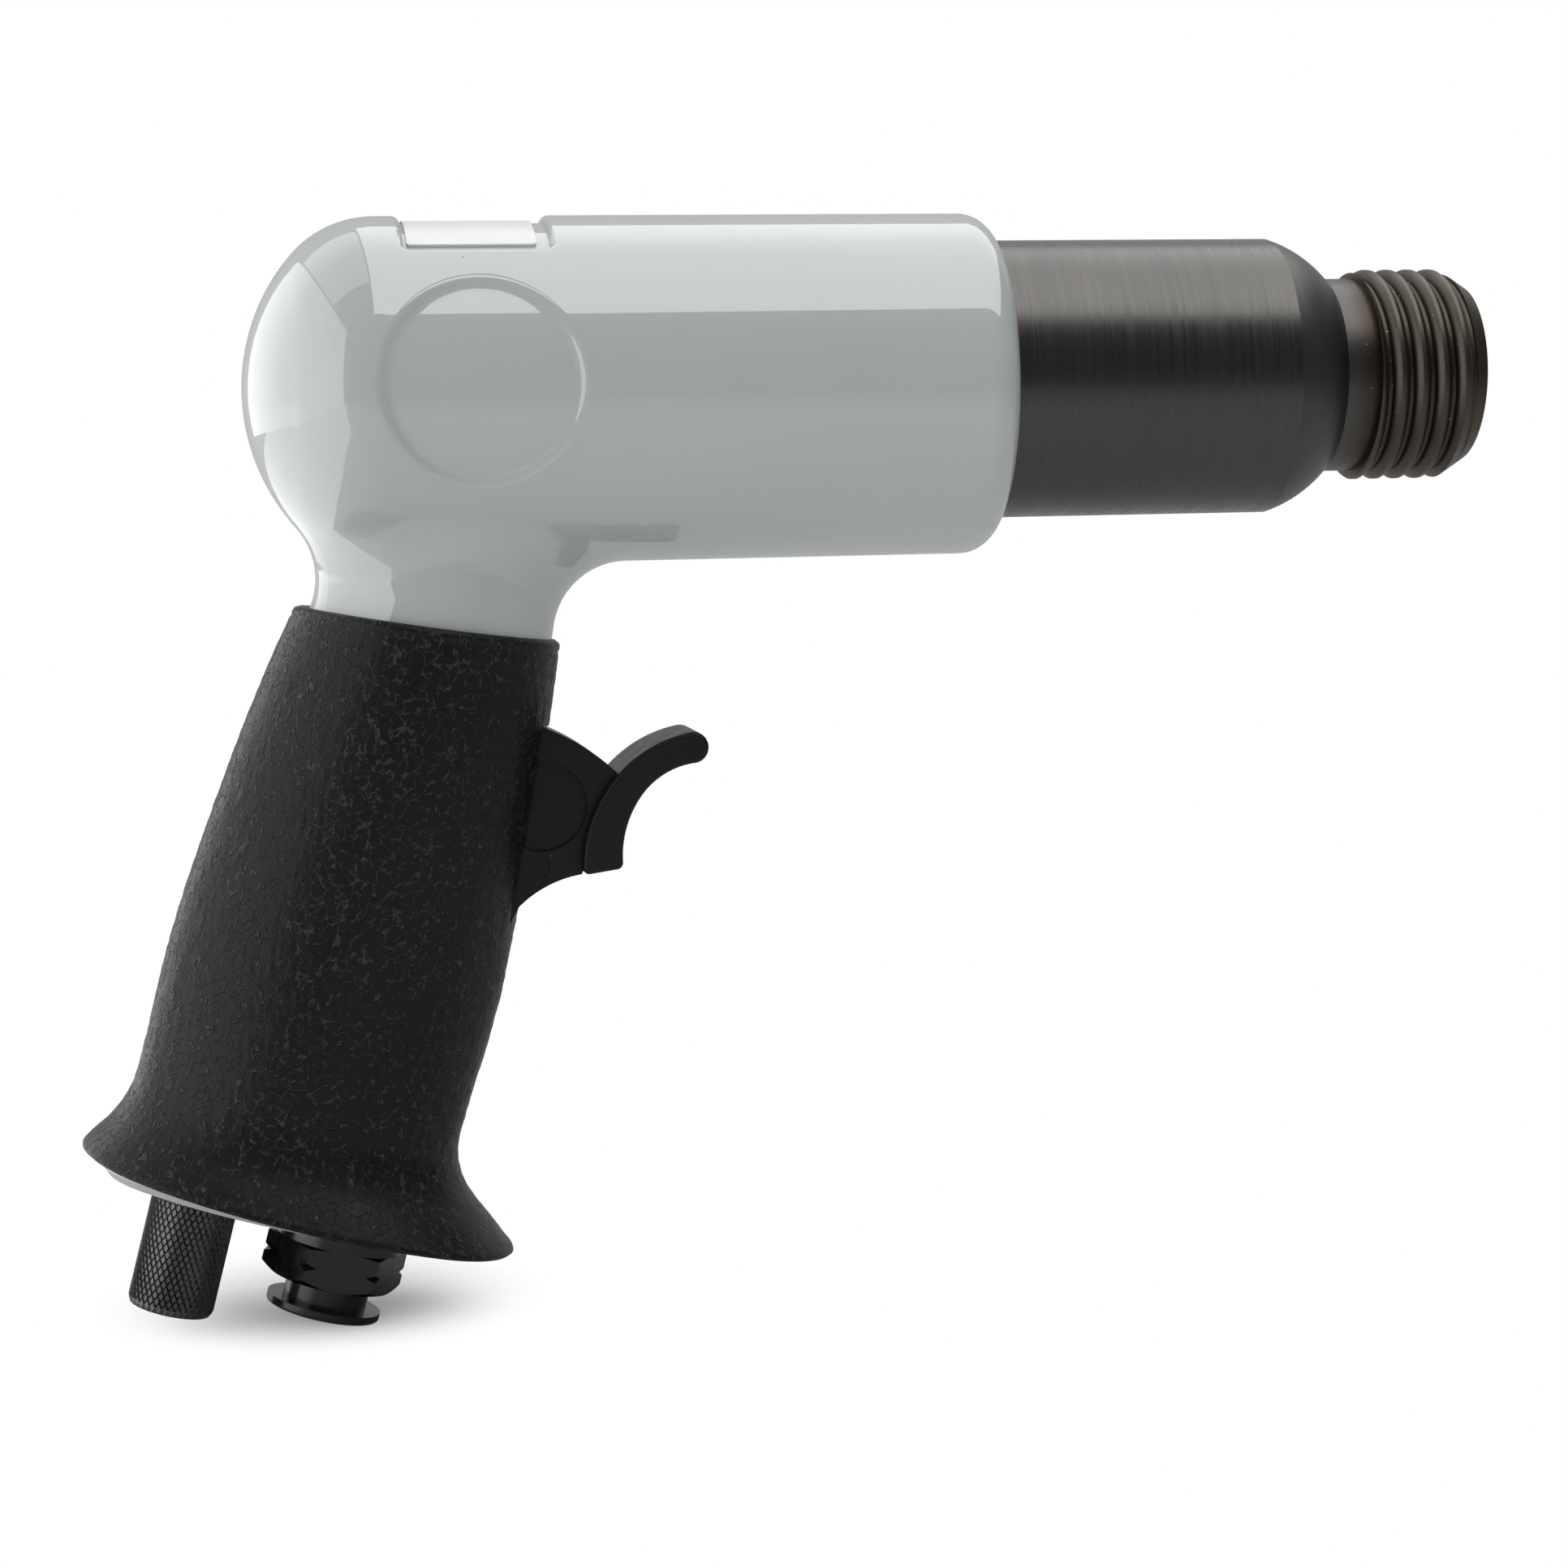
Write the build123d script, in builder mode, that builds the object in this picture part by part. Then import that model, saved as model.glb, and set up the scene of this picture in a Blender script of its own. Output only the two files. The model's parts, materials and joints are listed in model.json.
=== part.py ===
from build123d import *
import os
from math import cos, degrees, hypot, radians, sin, sqrt

# Pneumatic chisel hammer with a pistol grip, in millimetres.
# The origin is the mouth of the chisel bore in the nose. +X leaves the nose along the barrel axis,
# +Z is up, and the raked handle hangs below the rear of the head.

os.makedirs("parts", exist_ok=True)

# Fits
FIT = 0.1             # radial room of a fixed round piece in its seat
RUN = 0.03            # radial room of a running fit
TOUCH = 0.3           # room between moving pieces that push each other

# Barrel and nose
BARREL_D = 37.4
BARREL_OUT = 67.0     # nose face to the front edge of the housing
SHOULDER_LEN = 8.2
SHOULDER_R = 17.5     # radius of the domed shoulder's profile
NECK_D = 26.4
NECK_LEN = 4.4
NOSE_D = 28.8         # over the crests of the round thread
NOSE_LEN = 15.7
NOSE_PITCH = 3.0
NOSE_THREAD_DEPTH = 1.15
NOSE_CREST_FLAT = 0.5
NOSE_ROOT_FLAT = 0.5
NOSE_BEVEL = 2.3
NOSE_BEVEL_LEN = 3.6
CREST_FULLNESS = 0.32  # share of the groove's depth reached half-way up its round flank
SHANK_D = 10.3        # bore for a 10.2 mm round chisel shank
SHANK_LEN = 33.0
THREAD_STEP = 0.8     # radial step from the barrel's pilot to its screwed rear end
PASSAGE_D = 2.4       # return air holes along the barrel wall
PASSAGE_COUNT = 4
PASSAGE_TURN = 45.0
PASSAGE_SPAN = 4.0    # from the front end of the piston's bore to the return ports

# Piston and valve
PISTON_D = 19.0
PISTON_LEN = 28.0
PISTON_STROKE = 42.0
PISTON_CHAMFER = 1.0
PISTON_GROOVE = 0.4
END_PLAY = 0.5
VALVE_BODY_LEN = 7.0
VALVE_COVER_LEN = 8.0
VALVE_PORT_D = 8.0
DISC_D = 18.0
DISC_T = 1.5
DISC_TRAVEL = 0.9
DISC_ROOM = 0.3       # radial room round the valve disc
DISC_CHAMFER = 0.2
COVER_HOLE_D = 3.2
COVER_RING_D = 10.0
COVER_HOLES = 6
DOWEL_D = 2.5
DOWEL_OUT = 15.2      # barrel axis to the valve's dowel
GASKET_T = 2.0

# Head of the housing
HEAD_D = 45.8
HEAD_LEN = 100.2
HEAD_DROP = 0.6       # the head's outside lies this far below the barrel axis
RIM_R = 4.4
DOME_LEN = 17.7
DOME_R = 14.5         # radius of the dome's shoulder, which runs into a flatter crown
CHAMBER_D = 22.0
REAR_WALL = 19.4      # rear of the dome to the air chamber
EXHAUST_BACK = 8.3    # front edge to the exhaust holes
EXHAUST_D = 3.5
EXHAUST_COUNT = 3
EXHAUST_SPREAD = 26.0  # degrees between exhaust holes
EXHAUST_TURN = 40.0   # middle hole, from straight down towards +Y
EXHAUST_GROOVE = 5.0
EXHAUST_GROOVE_DEPTH = 1.3
SEAL_BACK = 4.7       # exhaust holes to the barrel's seal
SEAL_WIRE = 1.6
PANEL_MARGIN = 9.6    # top of the head to a round side panel
PANEL_PAST = 1.1      # the panel runs this far past the start of the dome
PANEL_DEPTH = 0.65
PANEL_EDGE = 0.3
LABEL_AHEAD = 12.6    # start of the dome to the middle of the label's pocket
LABEL_POCKET_LEN = 18.8
LABEL_POCKET_ARC = 77.0  # degrees of the head that the pocket takes up
LABEL_POCKET_CORNER = 1.2
LABEL_POCKET_DEPTH = 1.0
LABEL_POCKET_EDGE = 0.9
LABEL_MARGIN = 1.64   # sides of the pocket to the plate
LABEL_FRONT = 1.7     # front end of the pocket to the plate
LABEL_BEHIND = 0.4    # rear end of the pocket to the plate
LABEL_T = 0.35
LABEL_CORNER = 0.5

# Handle
RAKE = 15.0
HANDLE_AHEAD = 14.5   # start of the dome to the handle axis, along the barrel axis
HANDLE_LEN = 113.0    # barrel axis to the base, along the handle axis
CORE_START = 6.0
BLEND_R = 10.0
END_R = 12.0          # radius of the grip section's front and back
# Neck under the head, where the core stands back from the sleeve: depth, width, and centre ahead
GRIP_NECK = (30.0, 27.6, 0.95)
FLANGE_DEPTH = 50.0
FLANGE_W = 31.6
FLANGE_T = 4.0
FLANGE_AHEAD = -0.6
FLANGE_EDGE = 1.0
SLEEVE_WALL = 1.5
SLEEVE_LIP = 0.7
SLEEVE_TOP = 32.3     # below the barrel axis, along the handle axis
SLEEVE_TOP_SLOPE = -5.7
SLEEVE_HEM = 0.5
SLEEVE_RISE = 1.3     # base of the housing to the sleeve's lower edge
SLEEVE_BASE_SLOPE = 1.2
GRIP_TOP = 28.0       # below the barrel axis
# Even sections of the grip, from its top to its flare: depth, width, and centre ahead of the handle axis
GRIP = (
    (33.8, 31.6, 0.2),
    (38.9, 33.2, -0.55),
    (42.4, 34.2, -1.1),
    (44.6, 34.5, -1.5),
    (43.9, 34.0, -2.0),
)
FLARE_LEN = 16.0      # start of the flare to the base of the housing
# Even sections of the flare below the grip's last one, each with its own end radius
FLARE = (
    (44.5, 34.4, -2.0, 13.0),
    (48.2, 37.2, -1.6, 15.5),
    (55.5, 42.0, -0.6, 18.5),
    (62.4, 46.8, 0.8, 21.0),
)

# Trigger, in the handle's side view: ahead of the handle axis, and below the barrel axis
PIVOT = (14.5, 69.5)
PIVOT_D = 3.0
PIVOT_PIN_LEN = 15.0
BOSS_R = 3.8
WEB_T = 10.0
WEB_TOP_R = 27.5
WEB_FRONT = 29.5      # inside the blade
WEB_WAIST = (21.3, 64.2)
BLADE_W = 14.0
BLADE_EDGE = 0.6
BLADE_CORNER = 0.9
BLADE_HEEL = (27.0, 60.05)
BLADE_BACK = (26.2, 53.4)
BLADE_CROOK = (28.55, 45.45)
HOOK_TOP = (36.4, 38.15)
HOOK_UNDER = (37.9, 42.1)
BLADE_BEND = (32.1, 48.0)
BLADE_PALM = (31.2, 52.2)
BLADE_TOE = (32.1, 57.9)
TRIGGER_PULL = 12.0
POCKET = (19.6, 52.4)
POCKET_D = 12.2
POCKET_DEPTH = 0.7
MARK = (21.2, 60.4)
MARK_D = 3.0
MARK_DEPTH = 0.2
SLOT_ROOM = 0.4

# Throttle, lying across the handle behind the trigger
ROD_DROP = 52.0
ROD_D = 4.0
ROD_TIP_D = 2.8
ROD_CHAMFER = 0.5
BUSH_D = 10.0
BUSH_LEN = 9.0
BUSH_GUIDE = 4.0
BUSH_CAVITY_D = 6.4
BUSH_PORT_D = 3.0
SEAT_D = 4.4
SEAT_T = 1.0
ROD_SEAL_WIRE = 1.2
ROD_SEAL_IN = 2.0     # front of the bush to the rod's seal
BALL_D = 6.4
THROTTLE_D = 8.4
THROTTLE_LEN = 12.0
SPRING_WIRE = 0.5
SPRING_D = 4.6
SPRING_TURNS = 3
RISER_D = 4.8

# Inlet and regulator, side by side along the handle axis
INLET_AHEAD = 7.3
INLET_BODY_D = 13.8
INLET_BODY_LEN = 12.3
INLET_THREAD_D = 11.45  # wall of the G1/4 female thread
INLET_THREAD_LEN = 14.0
INLET_BORE_D = 8.4
COLLAR_D = 17.2
COLLAR_LEN = 2.1
HEX_AF = 16.5
HEX_LEN = 5.4
HEX_TURN = 4.0
HEX_CHAMFER = 0.9     # at the mouth, over the corners
HEX_TOP_CHAMFER = 0.3
HEX_NOTCH_DEPTH = 0.65
HEX_NOTCH_W = 1.0
WASHER_T = 0.8
STRAINER_T = 1.0
STRAINER_HOLE_D = 1.6
STRAINER_HOLES = 6
STRAINER_RING_D = 7.0
INLET_CHAMBER_D = 12.4
INLET_CHAMBER_LEN = 11.0
CROSS_DRILL_D = 4.4
CROSS_DRILL_IN = 0.5  # closed end of the inlet chamber to the edge of the drilling
PLUG_INSERT = 8.4
PLUG_NECK = 3.1
PLUG_FLANGE_D = 15.4
PLUG_FLANGE_T = 1.2
PLUG_FLANGE_EDGE = 0.4
PLUG_ROOM = 0.08
KNOB_BEHIND = 12.55
KNOB_D = 11.5
KNOB_LEN = 16.0
KNOB_GAP = 0.4        # base of the housing to the knob
KNOB_EDGE = 0.8
SPOOL_D = 8.0
SPOOL_LEN = 28.0      # inside the housing
SPOOL_STEM_D = 5.0
SPOOL_STEM_LEN = 9.0
SPOOL_BORE_D = 4.4
SPOOL_WINDOW_D = 4.0
SPOOL_SEAL_WIRE = 1.1
SPOOL_SEAL_UP = 4.0   # base of the housing to the spool's seal
SPOOL_PIN_D = 2.0
SPOOL_PIN_LEN = 22.0
SPOOL_PIN_UP = 9.3
FEED_D = 5.2

# Places along the barrel axis
BARREL_R = BARREL_D / 2
NOSE_R = NOSE_D / 2
HEAD_R = HEAD_D / 2
HEAD_FRONT = -BARREL_OUT
HEAD_REAR = HEAD_FRONT - HEAD_LEN
DOME_X = HEAD_REAR + DOME_LEN
CROWN_R = (HEAD_R**2 + DOME_LEN**2 - 2 * HEAD_R * DOME_R) / (2 * (DOME_LEN - DOME_R))
CROWN_SHARE = DOME_R / (CROWN_R - DOME_R)
CROWN_START = (
    DOME_X - CROWN_SHARE * (CROWN_R - DOME_LEN),
    (1 + CROWN_SHARE) * (HEAD_R - DOME_R) - HEAD_DROP,
)
PANEL_R = HEAD_R - PANEL_MARGIN
PANEL_X = DOME_X + PANEL_R - PANEL_PAST
LABEL_X = DOME_X + LABEL_AHEAD
LABEL_R = HEAD_R - LABEL_POCKET_DEPTH
LABEL_ARC = LABEL_POCKET_ARC - 2 * degrees(LABEL_MARGIN / LABEL_R)
LABEL_LEN = LABEL_POCKET_LEN - LABEL_BEHIND - LABEL_FRONT
LABEL_PLATE_X = LABEL_X + (LABEL_BEHIND - LABEL_FRONT) / 2
EXHAUST_X = HEAD_FRONT - EXHAUST_BACK
SEAL_X = EXHAUST_X - SEAL_BACK
THREAD_X = SEAL_X - 1.5 * SEAL_WIRE
THREAD_R = BARREL_R - THREAD_STEP
BORE_X = -SHANK_LEN
PORT_X = BORE_X - PASSAGE_SPAN
PASSAGE_OUT = (PISTON_D / 2 + THREAD_R) / 2
BARREL_REAR = BORE_X - PISTON_LEN - PISTON_STROKE - 2 * END_PLAY
PISTON_X = BARREL_REAR + END_PLAY
COVER_X = BARREL_REAR - VALVE_BODY_LEN
GASKET_X = COVER_X - VALVE_COVER_LEN
SOCKET_END = GASKET_X - GASKET_T
CHAMBER_END = HEAD_REAR + REAR_WALL
DISC_POCKET_R = DISC_D / 2 + DISC_ROOM
DISC_POCKET_LEN = DISC_T + DISC_TRAVEL + 2 * RUN
SHOULDER_X = -(NOSE_LEN + NECK_LEN)

# Planes and axes of the handle
HANDLE_X = DOME_X + HANDLE_AHEAD
AHEAD = Vector(cos(radians(RAKE)), 0, -sin(radians(RAKE)))
UPWARD = Vector(sin(radians(RAKE)), 0, cos(radians(RAKE)))
HANDLE = Plane(origin=(HANDLE_X, 0, 0), x_dir=AHEAD, z_dir=UPWARD)
HANDLE_SIDE = Plane(origin=(HANDLE_X, 0, 0), x_dir=AHEAD, z_dir=(0, -1, 0))
BARREL_AXIS = Axis.X
HEAD_AXIS = Axis((0, 0, -HEAD_DROP), (1, 0, 0))
HANDLE_AXIS = Axis(HANDLE.origin, UPWARD)
AHEAD_AXIS = Axis(HANDLE.origin, AHEAD)
INLET_AXIS = Axis(HANDLE.from_local_coords((INLET_AHEAD, 0, 0)), UPWARD)

# Places in the handle's side view
BASE_DROP = HANDLE_LEN
FLARE_DROP = BASE_DROP - FLARE_LEN
PIVOT_AHEAD, PIVOT_DROP = PIVOT
WEB_BACK = PIVOT_AHEAD - BOSS_R
WEB_RISE = sqrt(WEB_TOP_R**2 - BOSS_R**2)
SLOT_TOP = PIVOT_DROP - WEB_TOP_R - SLOT_ROOM
SLOT_END = PIVOT_DROP + BOSS_R + SLOT_ROOM
SWING = BOSS_R * cos(radians(TRIGGER_PULL)) + WEB_RISE * sin(radians(TRIGGER_PULL))
SLOT_BACK = PIVOT_AHEAD - SWING - SLOT_ROOM
CAVITY_LEN = BUSH_LEN - BUSH_GUIDE - SEAT_T
CAVITY_AHEAD = SLOT_BACK - BUSH_GUIDE
PORT_AHEAD = CAVITY_AHEAD - CAVITY_LEN / 2
ROD_AHEAD = WEB_BACK - TOUCH
ROD_SEAL_AHEAD = SLOT_BACK - ROD_SEAL_IN
BUSH_BACK = SLOT_BACK - BUSH_LEN
BALL_AHEAD = BUSH_BACK - sqrt((BALL_D / 2) ** 2 - (SEAT_D / 2) ** 2) - RUN
THROTTLE_BACK = BUSH_BACK - THROTTLE_LEN
SPRING_R = (SPRING_D - SPRING_WIRE) / 2
SPRING_BACK = THROTTLE_BACK + SPRING_WIRE / 2 + RUN
SPRING_FRONT = BALL_AHEAD - sqrt((BALL_D / 2) ** 2 - SPRING_R**2) - SPRING_WIRE / 2 - RUN
HEX_DROP = BASE_DROP + WASHER_T + COLLAR_LEN
MOUTH_DROP = HEX_DROP + HEX_LEN
INLET_TOP = BASE_DROP - INLET_BODY_LEN
CHAMBER_TOP = INLET_TOP - INLET_CHAMBER_LEN
CROSS_DROP = CHAMBER_TOP + CROSS_DRILL_IN + CROSS_DRILL_D / 2
KNOB_DROP = BASE_DROP + KNOB_GAP
KNOB_AHEAD = -KNOB_BEHIND
SPOOL_R = SPOOL_D / 2
SPOOL_TOP = BASE_DROP - SPOOL_LEN
SPOOL_SEAL_DROP = BASE_DROP - SPOOL_SEAL_UP
SPOOL_PIN_DROP = BASE_DROP - SPOOL_PIN_UP
SPOOL_PIN_AHEAD = KNOB_AHEAD + SPOOL_R
# Grooves round the spool for its seal and its pin: place, floor and width
SPOOL_GROOVES = (
    (SPOOL_SEAL_DROP, SPOOL_R - SPOOL_SEAL_WIRE, SPOOL_SEAL_WIRE + 2 * FIT),
    (SPOOL_PIN_DROP, SPOOL_R - SPOOL_PIN_D / 2 - TOUCH, SPOOL_PIN_D + 2 * TOUCH),
)


def across(drop, slope=0.0):
    """Plane across the handle at a distance below the barrel axis."""
    return HANDLE.offset(-drop).rotated((0, slope, 0))


def side(ahead, drop):
    """Point of the handle's side view."""
    return (ahead, -drop)


def along(ahead, drop):
    """Plane whose normal looks forward out of the handle, for pieces that lie across it."""
    origin = HANDLE.from_local_coords((ahead, 0, -drop))
    return Plane(origin=origin, x_dir=(0, 1, 0), z_dir=AHEAD)


def facing(x):
    """Plane square to the barrel axis, looking towards the nose."""
    return Plane.YZ.offset(x)


def round_head(turn):
    """Plane through the head's axis, turned about it from straight up."""
    across_plane = (0, -cos(radians(turn)), sin(radians(turn)))
    return Plane(origin=(0, 0, -HEAD_DROP), x_dir=(1, 0, 0), z_dir=across_plane)


def corner_edges(plate):
    """Short straight edges through a plate that is bent round the head."""
    lines = plate.edges().filter_by(GeomType.LINE)
    return [edge for edge in lines if abs(edge.tangent_at(0).X) < 0.5]


def rim_edges(edges):
    """Those of the edges that lie on the outside of the head."""
    outside = []
    for edge in edges:
        middle = edge @ 0.5
        if abs(hypot(middle.Y, middle.Z + HEAD_DROP) - HEAD_R) < TOUCH / 10:
            outside.append(edge)
    return outside


def oval(drop, depth, width, ahead, end_r=END_R):
    """Oval of four tangent arcs across the handle, deeper front to back than it is wide."""
    half = depth / 2
    flank = width / 2
    reach = half - end_r
    flank_r = (reach**2 + flank**2 - end_r**2) / (2 * (flank - end_r))
    join_x = reach * (1 + end_r / (flank_r - end_r))
    join_y = end_r * (flank_r - flank) / (flank_r - end_r)
    with BuildSketch(across(drop)) as section:
        with BuildLine():
            ThreePointArc((ahead + join_x, join_y), (ahead + half, 0), (ahead + join_x, -join_y))
            ThreePointArc((ahead + join_x, -join_y), (ahead, -flank), (ahead - join_x, -join_y))
            ThreePointArc((ahead - join_x, -join_y), (ahead - half, 0), (ahead - join_x, join_y))
            ThreePointArc((ahead - join_x, join_y), (ahead, flank), (ahead + join_x, join_y))
        make_face()
    return section.sketch


def grip_stations(shrink=0.0):
    """Even stations of the grip: drop, depth, width and centre, with depth and width less the shrink."""
    step = (FLARE_DROP - GRIP_TOP) / (len(GRIP) - 1)
    return [
        (GRIP_TOP + step * place, depth - shrink, width - shrink, ahead)
        for place, (depth, width, ahead) in enumerate(GRIP)
    ]


def flare_stations():
    """Even stations of the flare, from the last one of the grip to the base."""
    step = FLARE_LEN / len(FLARE)
    return [(FLARE_DROP + step * place, *size) for place, size in enumerate(GRIP[-1:] + FLARE)]


def core_sections(room=0.0):
    """Sections of the handle's core: a straight neck, then the sleeve less its wall."""
    depth, width, ahead = GRIP_NECK
    neck = (depth + 2 * room, width + 2 * room, ahead)
    slim = grip_stations(2 * (SLEEVE_WALL - room))[1:]
    last = (BASE_DROP,) + slim[-1][1:]
    return [oval(*station) for station in ((CORE_START, *neck), (GRIP_TOP, *neck), *slim, last)]


# Housing: a domed head and the core of the handle in one casting
with BuildPart() as panel_tool:
    with BuildSketch(Plane.XZ):
        with Locations((PANEL_X, 0)):
            Circle(PANEL_R)
    extrude(amount=HEAD_D, both=True)
    with BuildSketch(facing(HEAD_REAR)):
        with Locations((0, -HEAD_DROP)):
            Circle(HEAD_R - PANEL_DEPTH)
    extrude(amount=HEAD_LEN, mode=Mode.SUBTRACT)

with BuildPart() as label_tool:
    with BuildSketch(round_head(LABEL_POCKET_ARC / 2)):
        with Locations((LABEL_X, LABEL_R + LABEL_POCKET_DEPTH)):
            Rectangle(LABEL_POCKET_LEN, 2 * LABEL_POCKET_DEPTH)
    revolve(axis=HEAD_AXIS, revolution_arc=LABEL_POCKET_ARC)
    fillet(corner_edges(label_tool), LABEL_POCKET_CORNER)

with BuildPart() as housing:
    with BuildSketch(Plane.XZ):
        with BuildLine():
            top = HEAD_R - HEAD_DROP
            front = Line((HEAD_FRONT, -HEAD_DROP), (HEAD_FRONT, top - RIM_R))
            rim = RadiusArc(front @ 1, (HEAD_FRONT - RIM_R, top), -RIM_R)
            Line(rim @ 1, (DOME_X, top))
            dome = TangentArc((DOME_X, top), CROWN_START, tangent=(-1, 0))
            TangentArc(dome @ 1, (HEAD_REAR, -HEAD_DROP), tangent=dome % 1)
            Line((HEAD_REAR, -HEAD_DROP), front @ 0)
        make_face()
    revolve(axis=HEAD_AXIS)
    loft(sections=core_sections())
    fillet(housing.edges(Select.NEW), BLEND_R)
    add(oval(BASE_DROP, FLANGE_DEPTH, FLANGE_W, FLANGE_AHEAD))
    extrude(amount=FLANGE_T, dir=UPWARD)
    chamfer(housing.faces().sort_by(HANDLE_AXIS)[0].edges(), FLANGE_EDGE)
    add(panel_tool.part, mode=Mode.SUBTRACT)
    fillet(housing.edges(Select.NEW), PANEL_EDGE)
    add(label_tool.part, mode=Mode.SUBTRACT)
    fillet(rim_edges(housing.edges(Select.NEW)), LABEL_POCKET_EDGE)
    # barrel socket, valve seat and the air chamber behind it
    with BuildSketch(facing(HEAD_FRONT)):
        Circle(BARREL_R + FIT)
    extrude(amount=THREAD_X - HEAD_FRONT, mode=Mode.SUBTRACT)
    with BuildSketch(facing(HEAD_FRONT)):
        Circle(THREAD_R + FIT)
    extrude(amount=SOCKET_END - HEAD_FRONT, mode=Mode.SUBTRACT)
    with BuildSketch(facing(SOCKET_END)):
        Circle(CHAMBER_D / 2)
    extrude(amount=CHAMBER_END - SOCKET_END, mode=Mode.SUBTRACT)
    # exhaust gallery round the barrel and its holes below
    with BuildSketch(facing(EXHAUST_X)):
        Circle(BARREL_R + FIT + EXHAUST_GROOVE_DEPTH)
    extrude(amount=EXHAUST_GROOVE / 2, both=True, mode=Mode.SUBTRACT)
    for hole in range(EXHAUST_COUNT):
        turn = radians(EXHAUST_TURN + (hole - (EXHAUST_COUNT - 1) / 2) * EXHAUST_SPREAD)
        with BuildSketch(Plane(origin=(EXHAUST_X, 0, 0), z_dir=(0, sin(turn), -cos(turn)))):
            Circle(EXHAUST_D / 2)
        extrude(amount=HEAD_D, mode=Mode.SUBTRACT)
    # trigger slot and pivot
    with BuildSketch(HANDLE_SIDE):
        with BuildLine():
            Polyline(
                side(SLOT_BACK, SLOT_TOP),
                side(FLANGE_DEPTH, SLOT_TOP),
                side(FLANGE_DEPTH, SLOT_END),
                side(SLOT_BACK, SLOT_END),
                close=True,
            )
        make_face()
    extrude(amount=WEB_T / 2 + SLOT_ROOM, both=True, mode=Mode.SUBTRACT)
    with BuildSketch(HANDLE_SIDE):
        with Locations(side(*PIVOT)):
            Circle(PIVOT_D / 2)
    extrude(amount=FLANGE_W, both=True, mode=Mode.SUBTRACT)
    # throttle bore, and the riser from it to the air chamber
    with BuildSketch(along(SLOT_BACK, ROD_DROP)):
        Circle(BUSH_D / 2 + FIT)
    extrude(amount=-BUSH_LEN, mode=Mode.SUBTRACT)
    with BuildSketch(along(SLOT_BACK, ROD_DROP)):
        Circle(THROTTLE_D / 2)
    extrude(amount=-BUSH_LEN - THROTTLE_LEN, mode=Mode.SUBTRACT)
    with BuildSketch(across(ROD_DROP)):
        with Locations((PORT_AHEAD, 0)):
            Circle(RISER_D / 2)
    extrude(amount=ROD_DROP - CORE_START, mode=Mode.SUBTRACT)
    # inlet bore, its chamber, the regulator's bore and the drilling that joins them
    with BuildSketch(across(BASE_DROP)):
        with Locations((INLET_AHEAD, 0)):
            Circle(INLET_BODY_D / 2 + FIT)
    extrude(amount=INLET_BODY_LEN, mode=Mode.SUBTRACT)
    with BuildSketch(across(BASE_DROP)):
        with Locations((INLET_AHEAD, 0)):
            Circle(INLET_CHAMBER_D / 2)
    extrude(amount=INLET_BODY_LEN + INLET_CHAMBER_LEN, mode=Mode.SUBTRACT)
    with BuildSketch(across(BASE_DROP)):
        with Locations((KNOB_AHEAD, 0)):
            Circle(SPOOL_R + RUN)
    extrude(amount=SPOOL_LEN + TOUCH, mode=Mode.SUBTRACT)
    with BuildSketch(across(BASE_DROP)):
        with Locations((KNOB_AHEAD, 0)):
            Circle(FEED_D / 2)
    extrude(amount=BASE_DROP - ROD_DROP, mode=Mode.SUBTRACT)
    with BuildSketch(along(INLET_AHEAD, CROSS_DROP)):
        Circle(CROSS_DRILL_D / 2)
    extrude(amount=KNOB_AHEAD - INLET_AHEAD, mode=Mode.SUBTRACT)
    # pin that keeps the regulator's spool in
    with BuildSketch(HANDLE_SIDE):
        with Locations(side(SPOOL_PIN_AHEAD, SPOOL_PIN_DROP)):
            Circle(SPOOL_PIN_D / 2)
    extrude(amount=FLANGE_W, both=True, mode=Mode.SUBTRACT)

housing.part.label = "housing"
export_step(housing.part, "parts/housing.step")

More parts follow.
